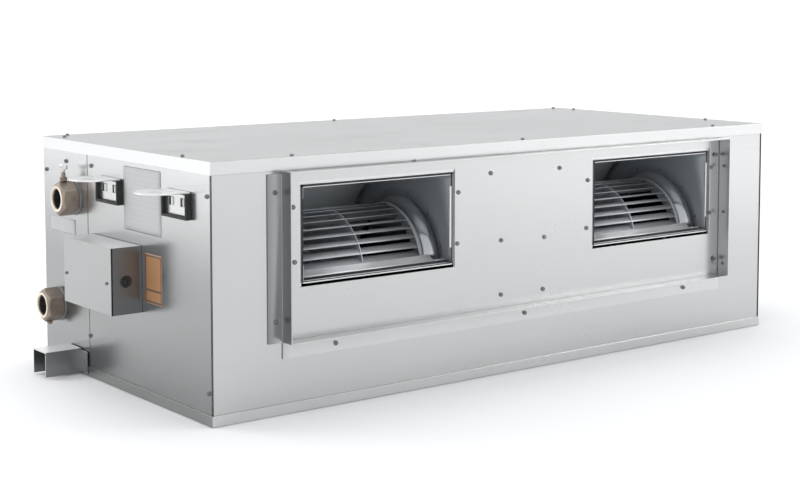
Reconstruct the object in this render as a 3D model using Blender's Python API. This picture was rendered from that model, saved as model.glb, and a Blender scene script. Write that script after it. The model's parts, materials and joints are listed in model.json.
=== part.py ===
# Ducted fan coil unit: two centrifugal blowers blow out of the front, and a water coil
# with its filters stands at the back. Electrical box and pipe ends are at the left.
# X runs across, Y from the front (-Y) to the back (+Y), Z up, all in metres.
# The origin is the centre of the casing's underside.

import math

import bmesh
import bpy
from mathutils import Vector

# Casing
casing_width = 1.090
casing_depth = 0.510
casing_height = 0.350
sheet = 0.0015            # casing sheet metal
seat = 0.0003             # gap left between pieces that touch
cover_flange = 0.018      # the top cover's edge, folded down
pan_lip = 0.015           # the base pan's edge, folded up
corner_gap = 0.002        # front plate to end panels
end_seam = 0.0015         # between the two panels of an end
seam_lead = 0.0452        # seam of an end to the first row of tubes
panel_return = 0.014      # inward folds of an end panel
liner_thickness = 0.008
liner_inset = 0.020       # liner edge to the outside of the casing

# Front plate, outlets and duct collar
duct_centre = 0.0042      # middle of the two outlets along X
blower_margin = 0.2705    # end of the casing to a blower's middle
outlet_width = 0.272
outlet_drop = 0.0355      # casing's top to the outlets
outlet_rise = 0.006       # wheel axis to the outlets' lower edge
collar_centre = 0.002
collar_margin = 0.0265    # outlets to the collar's sides
collar_bottom = 0.099
cover_play = 0.001        # top cover's edge to the collar
collar_depth = 0.023
collar_foot = 0.023

# Blowers
wheel_set = 0.0395        # casing's front to the wheel
wheel_drop = 0.010        # wheel axis below the casing's middle
scroll_room = 0.0845      # half the casing's height that the scroll leaves the wheel
wheel_side = 0.028        # outlet's side to the wheel's end
end_ring = 0.002          # thickness of the rings that hold the blades' ends
end_ring_lip = 0.001      # ring beyond the blades, inside and outside
blade_count = 36
blade_chord = 0.015
blade_thickness = 0.001
blade_sweep = math.radians(9.0)
disc_set = 0.0055         # middle disc inside the wheel's rim
hub_radius = 0.016
hub_length = 0.030
shaft_radius = 0.006
blower_sheet = 0.0015
passage_margin = 0.004    # outlet edge to the blower's own passage
passage_rise = 0.005      # outlet sill to the floor of the passage
cutoff_gap = 0.0115       # wheel to the lip that cuts the air off
cutoff_angle = math.radians(10.0)
scroll_steps = 18
eye_steps = 24            # sides of the round inlets
flange_width = 0.018      # blower flange outside the outlet
throat_step = 0.012       # wheel's rim to the throat of its inlet
bell_bend = 0.020
bell_reach = 0.003        # inlet throat to the wheel
bell_rim = 0.002
bell_proud = 0.0005
motor_play = 0.0265       # motor to the inlet's throat
motor_length = 0.097
motor_tail = 0.0185       # motor outside the blower's side
motor_chamfer = 0.008
motor_bore_depth = 0.028
bracket_thickness = 0.003
bracket_arm = 0.020
bracket_hold = 0.0085     # bracket arms on the side plate
bracket_band = 0.020

# Water coil
tube_rows = 4
row_pitch = 0.019
level_pitch = 0.025
coil_set = 0.0395         # coil to the casing's back
coil_margin = 0.0525      # coil to the casing's ends
baffle_room = 0.012       # least height of the baffle over the coil
fin_pitch = 0.028
fin_thickness = 0.004
fin_groove = 0.008
tube_radius = 0.0045
tube_sheet_flange = 0.010
tube_sheet_foot = 0.004   # fins above the foot of the tube sheets
header_radius = 0.011
header_set = 0.028        # header axis from the casing's end
neck_radius = 0.0125
neck_bore = 0.0105

# Drain
tray_lead = 0.0165        # tray in front of the coil and behind it
tray_height = 0.028
tray_sheet = 0.0012
tray_end_gap = 0.0024
spout_radius = 0.009
spout_wall = 0.0015
spout_rise = 0.0015       # base pan's edge to the spout
spout_length = 0.045
spout_set = 0.032         # spout's axis to the tray's back

# Pipe ends
supply_drop = 0.086       # casing's top to the supply pipe
return_height = 0.095
coupling_length = 0.027
coupling_flats = 0.045
coupling_bore = 0.015
coupling_chamfer_radius = 0.019
coupling_chamfer = 0.005
grommet_radius = 0.0265
grommet_flange = 0.0015
grommet_wall = 0.004
vent_offset = 0.015       # vent axis from the casing's end
vent_body_radius = 0.0055
vent_body_height = 0.006
vent_stem_radius = 0.003
vent_stem_height = 0.013
handle_span = 0.023
handle_height = 0.011
handle_thickness = 0.003
handle_hole = 0.0015
handle_hole_out = 0.55     # share of the wing's half span
handle_hole_up = 0.6       # share of the wing's height
plug_radius = 0.0045
plug_length = 0.004

# Support channel under the pipe ends
channel_lead = 0.021      # channel's front to the first row of tubes
channel_width = 0.043
channel_bottom = 0.002
channel_top = 0.039
channel_length = 0.058
channel_foot = 0.021

# Electrical box
box_gap = 0.0183          # box to the seam of the end panels
box_width = 0.1475
box_height = 0.0945
box_drop = 0.0507         # hangers to the box
box_depth = 0.046
box_sheet = 0.0012
cable_grommet_radius = 0.0085
cable_grommet_neck = 0.0065
cable_grommet_proud = 0.002
cable_grommet_rise = 0.0462
cable_grommet_set = 0.023
terminal_count = 8
terminal_pitch = 0.012
terminal_height = 0.022
terminal_depth = 0.018
terminal_groove = 0.003
capacitor_radius = 0.014
capacitor_length = 0.055

# Hangers
hanger_width = 0.068
hanger_drop = 0.038
hanger_reach = 0.062
hanger_sheet = 0.002
hanger_set = 0.044        # casing's top to the hangers
hanger_front = 0.087      # front hanger's middle to the casing's front
hanger_rear = 0.227       # rear hanger's middle to the casing's back
hanger_window = 0.0115
hanger_window_offset = 0.0155
hanger_window_drop = 0.016
hanger_slot_width = 0.011
hanger_slot_length = 0.022
hanger_slot_set = 0.034
buffer_wall = 0.004
buffer_depth = 0.008

# Return air side
return_margin = 0.065     # opening to the casing's ends
return_sill = 0.045
return_lintel = 0.045     # return opening to the casing's top
rail_inset = 0.030
rail_sheet = 0.0012
rail_bottom = 0.020
rail_play = 0.002         # top cover's edge to the upper rail
rail_leg = 0.016
filter_thickness = 0.014
filter_border = 0.018     # depth of the channel that holds the cloth
filter_wall = 0.001
filter_play = 0.0005
media_thickness = 0.0012
pleat_pitch = 0.024

# Places worked out from the sizes above
left_end = -casing_width / 2
front_end = -casing_depth / 2
wall_set = sheet + seat                      # outside of the casing to the panels
inner_top = casing_height - wall_set
plate_back = front_end + wall_set + sheet    # inner face of the front plate
liner_top = wall_set + liner_thickness
blower_pitch = casing_width - 2 * blower_margin
wheel_radius = casing_height / 2 - scroll_room
wheel_width = outlet_width - 2 * wheel_side
wheel_depth = wheel_set + wheel_radius       # wheel axis behind the casing's front
wheel_height = casing_height / 2 - wheel_drop
blade_inner_radius = wheel_radius - end_ring_lip - blade_chord
disc_radius = wheel_radius - disc_set
bell_throat = wheel_radius - throat_step
motor_radius = bell_throat - motor_play
bracket_reach = bell_throat + bell_bend + bracket_hold
outlet_sill = wheel_height + outlet_rise
outlet_height = casing_height - outlet_drop - outlet_sill
collar_width = blower_pitch + outlet_width + 2 * collar_margin
collar_top = casing_height - cover_flange - cover_play
coil_length = casing_width - 2 * coil_margin
coil_back = casing_depth - coil_set          # behind the casing's front, as the next ones
coil_first_row = coil_back - (tube_rows - 0.5) * row_pitch
tray_back = coil_back + tray_lead
tray_front = coil_back - tube_rows * row_pitch - tray_lead
spout_depth = tray_back - spout_set
spout_height = pan_lip + spout_rise + spout_radius
seam_depth = coil_first_row - seam_lead
supply_height = casing_height - supply_drop
channel_front = coil_first_row - channel_lead
channel_back = channel_front + channel_width
hanger_top = casing_height - hanger_set
hanger_depths = (hanger_front, casing_depth - hanger_rear)
box_back = seam_depth - box_gap
box_front = box_back - box_width
box_top = hanger_top - hanger_drop - box_drop
box_bottom = box_top - box_height
cable_grommet_height = box_bottom + cable_grommet_rise
return_head = casing_height - return_lintel
rail_top = casing_height - cover_flange - rail_play


def clear_scene():
    for item in list(bpy.data.objects):
        bpy.data.objects.remove(item, do_unlink=True)


def make_material(name, colour, roughness, metallic):
    made = bpy.data.materials.new(name)
    made.use_nodes = True
    shader = made.node_tree.nodes["Principled BSDF"]
    shader.inputs["Base Color"].default_value = (*colour, 1.0)
    shader.inputs["Roughness"].default_value = roughness
    shader.inputs["Metallic"].default_value = metallic
    made.diffuse_color = (*colour, 1.0)
    return made


def make_object(name, shape, material, parent=None, location=(0, 0, 0), smooth=False):
    """Turn a bmesh into an object with one material."""
    bmesh.ops.recalc_face_normals(shape, faces=shape.faces)
    mesh = bpy.data.meshes.new(name)
    shape.to_mesh(mesh)
    shape.free()
    mesh.materials.append(material)
    if smooth:
        mesh.shade_smooth()
        mesh.set_sharp_from_angle(angle=math.radians(35))
    return place_mesh(name, mesh, parent, location)


def place_mesh(name, mesh, parent=None, location=(0, 0, 0), turn=0.0):
    made = bpy.data.objects.new(name, mesh)
    bpy.context.scene.collection.objects.link(made)
    made.parent = parent
    made.location = location
    made.rotation_euler.z = turn
    return made


def empty(name, location):
    made = bpy.data.objects.new(name, None)
    bpy.context.scene.collection.objects.link(made)
    made.location = location
    return made


def on_plane(point, plane, level):
    """A 2-D point placed on the plane XY, XZ or YZ at a level of the third axis."""
    first, second = point
    if plane == "XY":
        return Vector((first, second, level))
    if plane == "XZ":
        return Vector((first, level, second))
    return Vector((level, first, second))


def ring(points, plane, level):
    return [on_plane(point, plane, level) for point in points]


def rectangle(low, high):
    return [(low[0], low[1]), (high[0], low[1]), (high[0], high[1]), (low[0], high[1])]


def circle(radius, count, centre=(0.0, 0.0)):
    angles = [2 * math.pi * index / count for index in range(count)]
    return [(centre[0] + radius * math.cos(a), centre[1] + radius * math.sin(a)) for a in angles]


def loft_shape(rings, closed):
    """Skin between rings of equally many points, capped, or closed into a loop."""
    shape = bmesh.new()
    loops = [[shape.verts.new(point) for point in points] for points in rings]
    pairs = list(zip(loops, loops[1:]))
    if closed:
        pairs.append((loops[-1], loops[0]))
    else:
        shape.faces.new(loops[0])
        shape.faces.new(loops[-1])
    for lower, upper in pairs:
        for index in range(len(lower)):
            after = (index + 1) % len(lower)
            shape.faces.new((lower[index], lower[after], upper[after], upper[index]))
    return shape


def loft(name, rings, material, closed=False, **placing):
    return make_object(name, loft_shape(rings, closed), material, **placing)


def extrusion(name, outline, plane, start, end, material, **placing):
    """An outline pushed along the axis that its plane leaves out."""
    rings = [ring(outline, plane, start), ring(outline, plane, end)]
    return loft(name, rings, material, **placing)


def frame_loft(name, outer, inner, plane, start, end, material, **placing):
    """A frame between two outlines of equally many points."""
    rings = [ring(outer, plane, start), ring(outer, plane, end)]
    rings += [ring(inner, plane, end), ring(inner, plane, start)]
    return loft(name, rings, material, closed=True, **placing)


def turned(name, profile, count, plane, material, closed=False, **placing):
    """A profile of (place along the axis, radius) turned about the axis."""
    rings = [ring(circle(radius, count), plane, level) for level, radius in profile]
    return loft(name, rings, material, closed=closed, smooth=True, **placing)


def tray(name, low, high, floor, rim, thickness, material, **placing):
    """An open tray in plan from low to high; its rim may point up or down."""
    inner_low = (low[0] + thickness, low[1] + thickness)
    inner_high = (high[0] - thickness, high[1] - thickness)
    inner_floor = floor + math.copysign(thickness, rim - floor)
    outer = rectangle(low, high)
    inner = rectangle(inner_low, inner_high)
    rings = [ring(outer, "XY", floor), ring(outer, "XY", rim)]
    rings += [ring(inner, "XY", rim), ring(inner, "XY", inner_floor)]
    return loft(name, rings, material, **placing)


def pressed_plate(name, outline, holes, plane, start, end, material, **placing):
    """A flat plate with holes: both faces are filled, then joined round every edge."""
    shape = bmesh.new()
    loops = []
    edges = []
    for points in [outline] + holes:
        corners = [shape.verts.new(point) for point in ring(points, plane, start)]
        edges += [shape.edges.new(pair) for pair in zip(corners, corners[1:] + corners[:1])]
        loops.append(corners)
    bmesh.ops.triangle_fill(shape, use_beauty=True, edges=edges)
    copied = bmesh.ops.duplicate(shape, geom=shape.verts[:] + shape.edges[:] + shape.faces[:])
    twin = copied["vert_map"]
    moved = [item for item in copied["geom"] if isinstance(item, bmesh.types.BMVert)]
    shift = on_plane((0.0, 0.0), plane, end - start)
    bmesh.ops.translate(shape, verts=moved, vec=shift)
    for corners in loops:
        for near, far in zip(corners, corners[1:] + corners[:1]):
            shape.faces.new((near, far, twin[far], twin[near]))
    return make_object(name, shape, material, **placing)


def boolean(target, tool, operation):
    """Cut, fuse or intersect a piece with a helper that isn't a part itself."""
    step = target.modifiers.new(tool.name, "BOOLEAN")
    step.operation = operation
    step.solver = "EXACT"
    step.object = tool
    tool.hide_render = True
    tool.display_type = "WIRE"


def join_shapes(shapes):
    """Put several closed shapes, apart from each other, into one bmesh."""
    joined = bmesh.new()
    for shape in shapes:
        mesh = bpy.data.meshes.new("step")
        shape.to_mesh(mesh)
        shape.free()
        joined.from_mesh(mesh)
        bpy.data.meshes.remove(mesh)
    return joined


def offset_path(points, distance):
    """The path moved sideways by a distance, with mitred corners."""
    path = [Vector(point) for point in points]
    normals = []
    for here, there in zip(path, path[1:]):
        along = (there - here).normalized()
        normals.append(Vector((along.y, -along.x)))
    moved = []
    for index, point in enumerate(path):
        before = normals[max(index - 1, 0)]
        after = normals[min(index, len(normals) - 1)]
        mitre = (before + after) / (1 + before.dot(after))
        moved.append(point + mitre * distance)
    return [tuple(point) for point in moved]


def make_casing(galvanised, foam):
    low = (left_end, front_end)
    high = (-left_end, -front_end)
    tray("base_pan", low, high, 0.0, pan_lip, sheet, galvanised)
    tray("top_cover", low, high, casing_height, casing_height - cover_flange, sheet, galvanised)
    liner_low = (left_end + liner_inset, front_end + liner_inset)
    liner = rectangle(liner_low, (-liner_low[0], -liner_low[1]))
    extrusion("base_liner", liner, "XY", wall_set, liner_top, foam)
    extrusion("top_liner", liner, "XY", inner_top - liner_thickness, inner_top - seat, foam)


def end_panel_outline(side, front, back):
    """Section of an end panel: a sheet with its front and back edges folded in."""
    outside = side * (casing_width / 2 - wall_set)
    inside = outside - side * sheet
    fold = outside - side * panel_return
    return [
        (outside, front), (outside, back), (fold, back), (fold, back - sheet),
        (inside, back - sheet), (inside, front + sheet), (fold, front + sheet), (fold, front),
    ]


def make_end_panels(galvanised):
    first = plate_back + corner_gap
    seam = front_end + seam_depth
    last = -plate_back - seat
    made = {}
    for side, word in ((-1, "left"), (1, "right")):
        spans = {"front": (first, seam - end_seam / 2), "rear": (seam + end_seam / 2, last)}
        for section, (near, far) in spans.items():
            name = f"{word}_{section}_panel"
            outline = end_panel_outline(side, near, far)
            made[name] = extrusion(name, outline, "XY", wall_set, inner_top, galvanised)
    return made


def cut_pipe_holes(panel, galvanised):
    """Holes for the two pipe ends in the left rear panel."""
    for index, (depth, height) in enumerate(pipe_places()):
        hole = circle(grommet_neck_radius() + seat, 24, (front_end + depth, height))
        start = left_end - sheet
        cutter = extrusion(f"pipe_hole_{index}", hole, "YZ", start, start + 4 * wall_set, galvanised)
        boolean(panel, cutter, "DIFFERENCE")


def cut_drain_hole(panel, galvanised):
    hole = circle(spout_radius + seat, 16, (front_end + spout_depth, spout_height))
    start = -left_end - 4 * wall_set
    cutter = extrusion("panel_drain_hole", hole, "YZ", start, -left_end + sheet, galvanised)
    boolean(panel, cutter, "DIFFERENCE")


def blower_centres():
    return {"left": duct_centre - blower_pitch / 2, "right": duct_centre + blower_pitch / 2}


def make_front_plate(galvanised):
    outline = rectangle((left_end + wall_set, wall_set), (-left_end - wall_set, inner_top))
    holes = []
    for centre in blower_centres().values():
        low = (centre - outlet_width / 2, outlet_sill)
        high = (centre + outlet_width / 2, outlet_sill + outlet_height)
        holes.append(rectangle(low, high))
    front = front_end + wall_set
    pressed_plate("front_panel", outline, holes, "XZ", front, front + sheet, galvanised)


def make_duct_collar(galvanised):
    """A rectangular spigot with a strip of foot at the left, at the right and below."""
    half = collar_width / 2
    back = front_end + wall_set - seat
    low = (collar_centre - half, collar_bottom)
    high = (collar_centre + half, collar_top)
    outer = rectangle(low, high)
    inner = rectangle((low[0] + sheet, low[1] + sheet), (high[0] - sheet, high[1] - sheet))
    mouth = back - collar_depth
    spigot = frame_loft("duct_collar", outer, inner, "XZ", back - sheet / 2, mouth, galvanised)
    sunk = sheet / 2
    foot_low = (low[0] - collar_foot, low[1] - collar_foot)
    foot_high = (high[0] + collar_foot, high[1] - 2 * sheet)
    outline = [
        (foot_low[0], foot_high[1]), (foot_low[0], low[1]), low, (low[0], foot_low[1]),
        (high[0], foot_low[1]), (high[0], low[1]), (foot_high[0], low[1]), foot_high,
        (high[0] - sunk, foot_high[1]), (high[0] - sunk, low[1] + sunk),
        (low[0] + sunk, low[1] + sunk), (low[0] + sunk, foot_high[1]),
    ]
    foot = extrusion("collar_foot", outline, "XZ", back, back - sheet, galvanised)
    boolean(spigot, foot, "UNION")


def scroll_path():
    """Inside of the scroll, seen along X, round the wheel axis: the outlet's floor, the
    cut-off lip, then a spiral that grows evenly under, behind and over the wheel."""
    mouth = plate_back + seat - (front_end + wheel_depth)
    floor = outlet_sill + passage_rise - wheel_height
    first_radius = wheel_radius + cutoff_gap
    last_radius = outlet_sill + outlet_height - passage_margin - wheel_height
    points = [(mouth, floor)]
    sweep = math.radians(270) + cutoff_angle
    for step in range(scroll_steps + 1):
        share = step / scroll_steps
        angle = share * sweep - cutoff_angle
        radius = first_radius + (last_radius - first_radius) * share
        points.append((-radius * math.cos(angle), -radius * math.sin(angle)))
    points.append((mouth, last_radius))
    return points


def quarter_round(centre, mouth_radius, bend, steps):
    """Points of a bell's section, from its mouth to its throat."""
    angles = [math.radians(90) * step / steps for step in range(steps + 1)]
    return [(centre + bend * math.cos(a), mouth_radius - bend * math.sin(a)) for a in angles]


def bell_shape(side):
    """One inlet bell: a quarter round from the side plate into the wheel's eye."""
    plate = outlet_width / 2 - passage_margin + blower_sheet + bell_proud
    mouth_radius = bell_throat + bell_bend
    end = wheel_width / 2 + bell_reach
    centre = plate - bell_bend
    metal = bell_bend - blower_sheet
    rim = mouth_radius + bell_rim
    air_side = quarter_round(centre, mouth_radius, bell_bend, 3)
    back_side = quarter_round(centre, mouth_radius, metal, 2)
    tip = [(end, bell_throat), (end, bell_throat + blower_sheet)]
    profile = [(plate, rim)] + air_side + tip + back_side[::-1] + [(plate - blower_sheet, rim)]
    rings = [ring(circle(radius, eye_steps), "YZ", side * level) for level, radius in profile]
    return loft_shape(rings, True)


def make_blower_housing(name, parent, galvanised):
    """Scroll, side plates and flange as one shell, hollowed and given its inlet bells."""
    half = outlet_width / 2 - passage_margin
    inside = scroll_path()
    outside = offset_path(inside, blower_sheet)
    mouth = inside[0][0]
    outside[0] = (mouth + seat, outside[0][1])
    outside[-1] = (mouth + seat, outside[-1][1])
    side = half + blower_sheet
    housing = extrusion(name, outside, "YZ", -side, side, galvanised, parent=parent)
    flange_low = (-outlet_width / 2 - flange_width, outlet_sill - flange_width - wheel_height)
    top = min(outlet_sill + outlet_height + flange_width, inner_top - liner_thickness - 2 * seat)
    flange_high = (outlet_width / 2 + flange_width, top - wheel_height)
    flange = extrusion(
        f"{name}_flange", rectangle(flange_low, flange_high), "XZ", mouth, mouth + blower_sheet,
        galvanised, parent=parent)
    boolean(housing, flange, "UNION")
    passage = list(inside)
    passage[0] = (mouth - flange_width, inside[0][1])
    passage[-1] = (mouth - flange_width, inside[-1][1])
    air = extrusion(f"{name}_air", passage, "YZ", -half, half, galvanised, parent=parent)
    boolean(housing, air, "DIFFERENCE")
    eye = circle(bell_throat + bell_bend - bell_proud, eye_steps)
    for hand in (-1, 1):
        inlet = extrusion(
            f"{name}_inlet_{hand}", eye, "YZ", hand * (half - blower_sheet),
            hand * (side + blower_sheet), galvanised, parent=parent)
        boolean(housing, inlet, "DIFFERENCE")
    bells = make_object(f"{name}_bells", join_shapes([bell_shape(-1), bell_shape(1)]), galvanised, parent)
    boolean(housing, bells, "UNION")
    return housing


def blade_outline(angle):
    """Section of one forward-curved blade: it starts radially and bends into the turn."""
    outer = wheel_radius - end_ring_lip
    steps = 2
    faces = ([], [])
    for step in range(steps + 1):
        share = step / steps
        radius = blade_inner_radius + (outer - blade_inner_radius) * share
        lead = angle + blade_sweep * share ** 2
        half_angle = blade_thickness / 2 / radius
        for face, turn in zip(faces, (lead - half_angle, lead + half_angle)):
            face.append((radius * math.cos(turn), radius * math.sin(turn)))
    return faces[0] + faces[1][::-1]


def make_wheel(name, parent, wheel_steel):
    """Double inlet wheel: hub and middle disc, two end rings and the blades between them."""
    half = wheel_width / 2
    bore = shaft_radius + seat
    disc = blower_sheet / 2
    profile = [
        (-hub_length / 2, bore), (-hub_length / 2, hub_radius), (-disc, hub_radius),
        (-disc, disc_radius), (disc, disc_radius), (disc, hub_radius), (hub_length / 2, hub_radius),
        (hub_length / 2, bore),
    ]
    wheel = turned(name, profile, 24, "YZ", wheel_steel, closed=True, parent=parent)
    ring_shapes = []
    blade_shapes = []
    inner = blade_inner_radius - end_ring_lip
    for start in (-half, half - end_ring):
        band = [(start, inner), (start, wheel_radius), (start + end_ring, wheel_radius)]
        band.append((start + end_ring, inner))
        rings = [ring(circle(radius, eye_steps), "YZ", level) for level, radius in band]
        ring_shapes.append(loft_shape(rings, True))
    for index in range(blade_count):
        outline = blade_outline(2 * math.pi * index / blade_count)
        reach = half - end_ring / 2
        shape = loft_shape([ring(outline, "YZ", -reach), ring(outline, "YZ", reach)], False)
        blade_shapes.append(shape)
    blades = make_object(f"{name}_blades", join_shapes(blade_shapes), wheel_steel, parent)
    boolean(wheel, blades, "UNION")
    end_rings = make_object(f"{name}_end_rings", join_shapes(ring_shapes), wheel_steel, parent)
    boolean(wheel, end_rings, "UNION")


def make_motor(side, parent, paint, steel, galvanised):
    """Motor in the left eye of its wheel, its shaft and the three-armed bracket."""
    plate = outlet_width / 2 - passage_margin + blower_sheet
    tail = -plate - motor_tail
    nose = tail + motor_length
    bore = shaft_radius + seat
    chamfer = min(motor_chamfer, motor_radius / 4)
    profile = [
        (tail, motor_radius - 2 * chamfer), (tail + chamfer, motor_radius),
        (nose - chamfer, motor_radius), (nose, motor_radius - 2 * chamfer),
        (nose, bore), (nose - motor_bore_depth, bore),
    ]
    turned(f"{side}_blower_motor", profile, 24, "YZ", paint, parent=parent)
    shaft_start = nose - motor_bore_depth + seat
    shaft = [(shaft_start, shaft_radius), (hub_length / 2 + seat, shaft_radius)]
    turned(f"{side}_wheel_shaft", shaft, 16, "YZ", steel, parent=parent)
    inner = motor_radius + seat
    outer = inner + bracket_thickness
    arm_back = -plate - bell_proud - seat
    band = [(arm_back, inner), (arm_back, outer), (arm_back - bracket_band, outer)]
    band.append((arm_back - bracket_band, inner))
    bracket = turned(
        f"{side}_motor_bracket", band, 24, "YZ", galvanised, closed=True, parent=parent)
    arms = []
    for turn in (90, 210, 330):
        angle = math.radians(turn)
        along = Vector((math.cos(angle), math.sin(angle)))
        across = Vector((-along.y, along.x)) * bracket_arm / 2
        near = along * (inner + bracket_thickness / 2)
        far = along * bracket_reach
        outline = [tuple(near - across), tuple(far - across), tuple(far + across), tuple(near + across)]
        start = arm_back - seat / 2
        rings = [ring(outline, "YZ", start), ring(outline, "YZ", start - bracket_thickness)]
        arms.append(loft_shape(rings, False))
    spider = make_object(f"{side}_motor_arms", join_shapes(arms), galvanised, parent)
    boolean(bracket, spider, "UNION")


def make_blowers(galvanised, wheel_steel, paint, steel):
    for side, centre in blower_centres().items():
        axis = empty(f"{side}_blower", (centre, front_end + wheel_depth, wheel_height))
        make_blower_housing(f"{side}_blower_housing", axis, galvanised)
        make_wheel(f"{side}_wheel", axis, wheel_steel)
        make_motor(side, axis, paint, steel, galvanised)


def coil_back_row():
    return coil_first_row + (tube_rows - 1) * row_pitch


def coil_foot():
    """Height of the tray's floor, where the tube sheets stand."""
    return liner_top + seat + tray_sheet + seat


def fin_bottom():
    return coil_foot() + tube_sheet_foot


def tube_levels():
    """As many levels of tubes as fit under the baffle."""
    room = inner_top - liner_thickness - baffle_room - fin_bottom()
    return int(room // level_pitch)


def tube_heights():
    first = fin_bottom() + level_pitch / 2
    return [first + level * level_pitch for level in range(tube_levels())]


def coil_faces():
    front = front_end + coil_first_row - row_pitch / 2
    return front, front + tube_rows * row_pitch


def make_fins(aluminium):
    """Fin pack: a block whose front and back are grooved between the fins."""
    front, back = coil_faces()
    half = coil_length / 2 - seat - sheet
    count = int((2 * half - fin_thickness) // fin_pitch)
    start = -(count - 1) * fin_pitch / 2
    lower = [(-half, front + fin_groove)]
    upper = [(-half, back - fin_groove)]
    for index in range(count):
        middle = start + index * fin_pitch
        left = middle - fin_thickness / 2
        right = middle + fin_thickness / 2
        deep_front = front + fin_groove
        deep_back = back - fin_groove
        lower += [(left, deep_front), (left, front), (right, front), (right, deep_front)]
        upper += [(left, deep_back), (left, back), (right, back), (right, deep_back)]
    lower.append((half, front + fin_groove))
    upper.append((half, back - fin_groove))
    top = fin_bottom() + tube_levels() * level_pitch
    extrusion("coil_fins", lower + upper[::-1], "XY", fin_bottom(), top, aluminium)


def bend_shape(side, start, first, second, height):
    """A return bend: half a turn of tube between two rows at one height."""
    steps = 3
    middle = (first + second) / 2
    radius = (second - first) / 2
    rings = []
    for step in range(steps + 1):
        angle = math.pi * step / steps
        reach = radius * math.sin(angle) - sheet / 2
        centre = Vector((start + side * reach, middle - radius * math.cos(angle), height))
        outward = Vector((side * math.sin(angle), -math.cos(angle), 0))
        section = circle(tube_radius, 6)
        rings.append([centre + outward * across + Vector((0, 0, up)) for across, up in section])
    return loft_shape(rings, False)


def make_tube_sheet(side, word, pairs, galvanised, copper):
    """An end plate of the coil, flanged outwards, with the bends of its tube pairs."""
    front, back = coil_faces()
    outer = side * coil_length / 2
    inner = outer - side * sheet
    edge = outer + side * tube_sheet_flange
    outline = [
        (inner, front), (inner, back), (edge, back), (edge, back - sheet),
        (outer, back - sheet), (outer, front + sheet), (edge, front + sheet), (edge, front),
    ]
    top = fin_bottom() + tube_levels() * level_pitch + tube_sheet_foot
    plate = extrusion(f"coil_{word}_tube_sheet", outline, "XY", coil_foot(), top, galvanised)
    rows = [front_end + coil_first_row + row * row_pitch for row in range(tube_rows)]
    shapes = []
    for height in tube_heights():
        for first, second in pairs:
            shapes.append(bend_shape(side, outer, rows[first], rows[second], height))
    bends = make_object(f"coil_{word}_bends", join_shapes(shapes), copper)
    boolean(plate, bends, "UNION")


def make_coil(aluminium, galvanised, copper):
    make_fins(aluminium)
    make_tube_sheet(-1, "left", [(1, 2)], galvanised, copper)
    make_tube_sheet(1, "right", [(0, 1), (2, 3)], galvanised, copper)
    front, back = coil_faces()
    bottom = fin_bottom() + tube_levels() * level_pitch + tube_sheet_foot + seat
    top = inner_top - liner_thickness - seat
    near = front + tube_sheet_flange
    far = back - tube_sheet_flange
    section = [
        (near, bottom), (far, bottom), (far, top), (far - sheet, top), (far - sheet, bottom + sheet),
        (near + sheet, bottom + sheet), (near + sheet, top), (near, top),
    ]
    half = coil_length / 2
    extrusion("coil_top_baffle", section, "YZ", -half, half, galvanised)


def pipe_places():
    """Depth behind the front and height of the supply and the return pipe."""
    return [(coil_first_row, supply_height), (coil_back_row(), return_height)]


def grommet_neck_radius():
    return neck_radius + seat + grommet_wall


def coupling_start():
    """Where a coupling begins, outside the flange of its grommet."""
    return left_end + wall_set - grommet_flange - 2 * seat


def make_header(word, depth, height, copper):
    """Collector pipe with a stub to each tube and a hollow neck out of the casing."""
    axis_x = left_end + header_set
    axis_y = front_end + depth
    heights = tube_heights()
    low = heights[0] - level_pitch / 3
    high = heights[-1] + level_pitch / 3
    pipe = extrusion(
        f"{word}_header", circle(header_radius, 12, (axis_x, axis_y)), "XY", low, high, copper)
    pipe.data.shade_smooth()
    pipe.data.set_sharp_from_angle(angle=math.radians(35))
    stub_end = -coil_length / 2 - seat
    shapes = []
    for level in heights:
        section = circle(tube_radius, 6, (axis_y, level))
        shapes.append(loft_shape([ring(section, "YZ", axis_x), ring(section, "YZ", stub_end)], False))
    stubs = make_object(f"{word}_stubs", join_shapes(shapes), copper)
    boolean(pipe, stubs, "UNION")
    mouth = coupling_start() - coupling_length / 4
    section = circle(neck_radius, 16, (axis_y, height))
    neck = extrusion(f"{word}_neck", section, "YZ", axis_x, mouth, copper)
    boolean(pipe, neck, "UNION")
    section = circle(neck_bore, 16, (axis_y, height))
    water = extrusion(f"{word}_neck_water", section, "YZ", axis_x, mouth - sheet, copper)
    boolean(pipe, water, "DIFFERENCE")


def hexagon(across_flats, count):
    """Points round a hexagon whose flats face the front and the back."""
    points = []
    for index in range(count):
        angle = 2 * math.pi * index / count
        folded = (angle + math.pi / 6) % (math.pi / 3) - math.pi / 6
        radius = across_flats / 2 / math.cos(folded)
        points.append((radius * math.cos(angle), radius * math.sin(angle)))
    return points


def make_coupling(word, depth, height, brass):
    """Hexagon pipe union: open bore, chamfered face and a narrower seat for its neck."""
    count = 24
    place = (0.0, front_end + depth, height)
    start = coupling_start()
    end = left_end - coupling_length
    seat_end = start - coupling_length / 4 - seat
    body = hexagon(coupling_flats, count)
    rings = [
        ring(circle(neck_radius + seat, count), "YZ", start),
        ring(body, "YZ", start),
        ring(body, "YZ", end + coupling_chamfer),
        ring(circle(coupling_chamfer_radius, count), "YZ", end),
        ring(circle(coupling_bore, count), "YZ", end),
        ring(circle(coupling_bore, count), "YZ", seat_end),
        ring(circle(neck_radius + seat, count), "YZ", seat_end),
    ]
    loft(f"{word}_coupling", rings, brass, closed=True, smooth=True, location=place)


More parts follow.
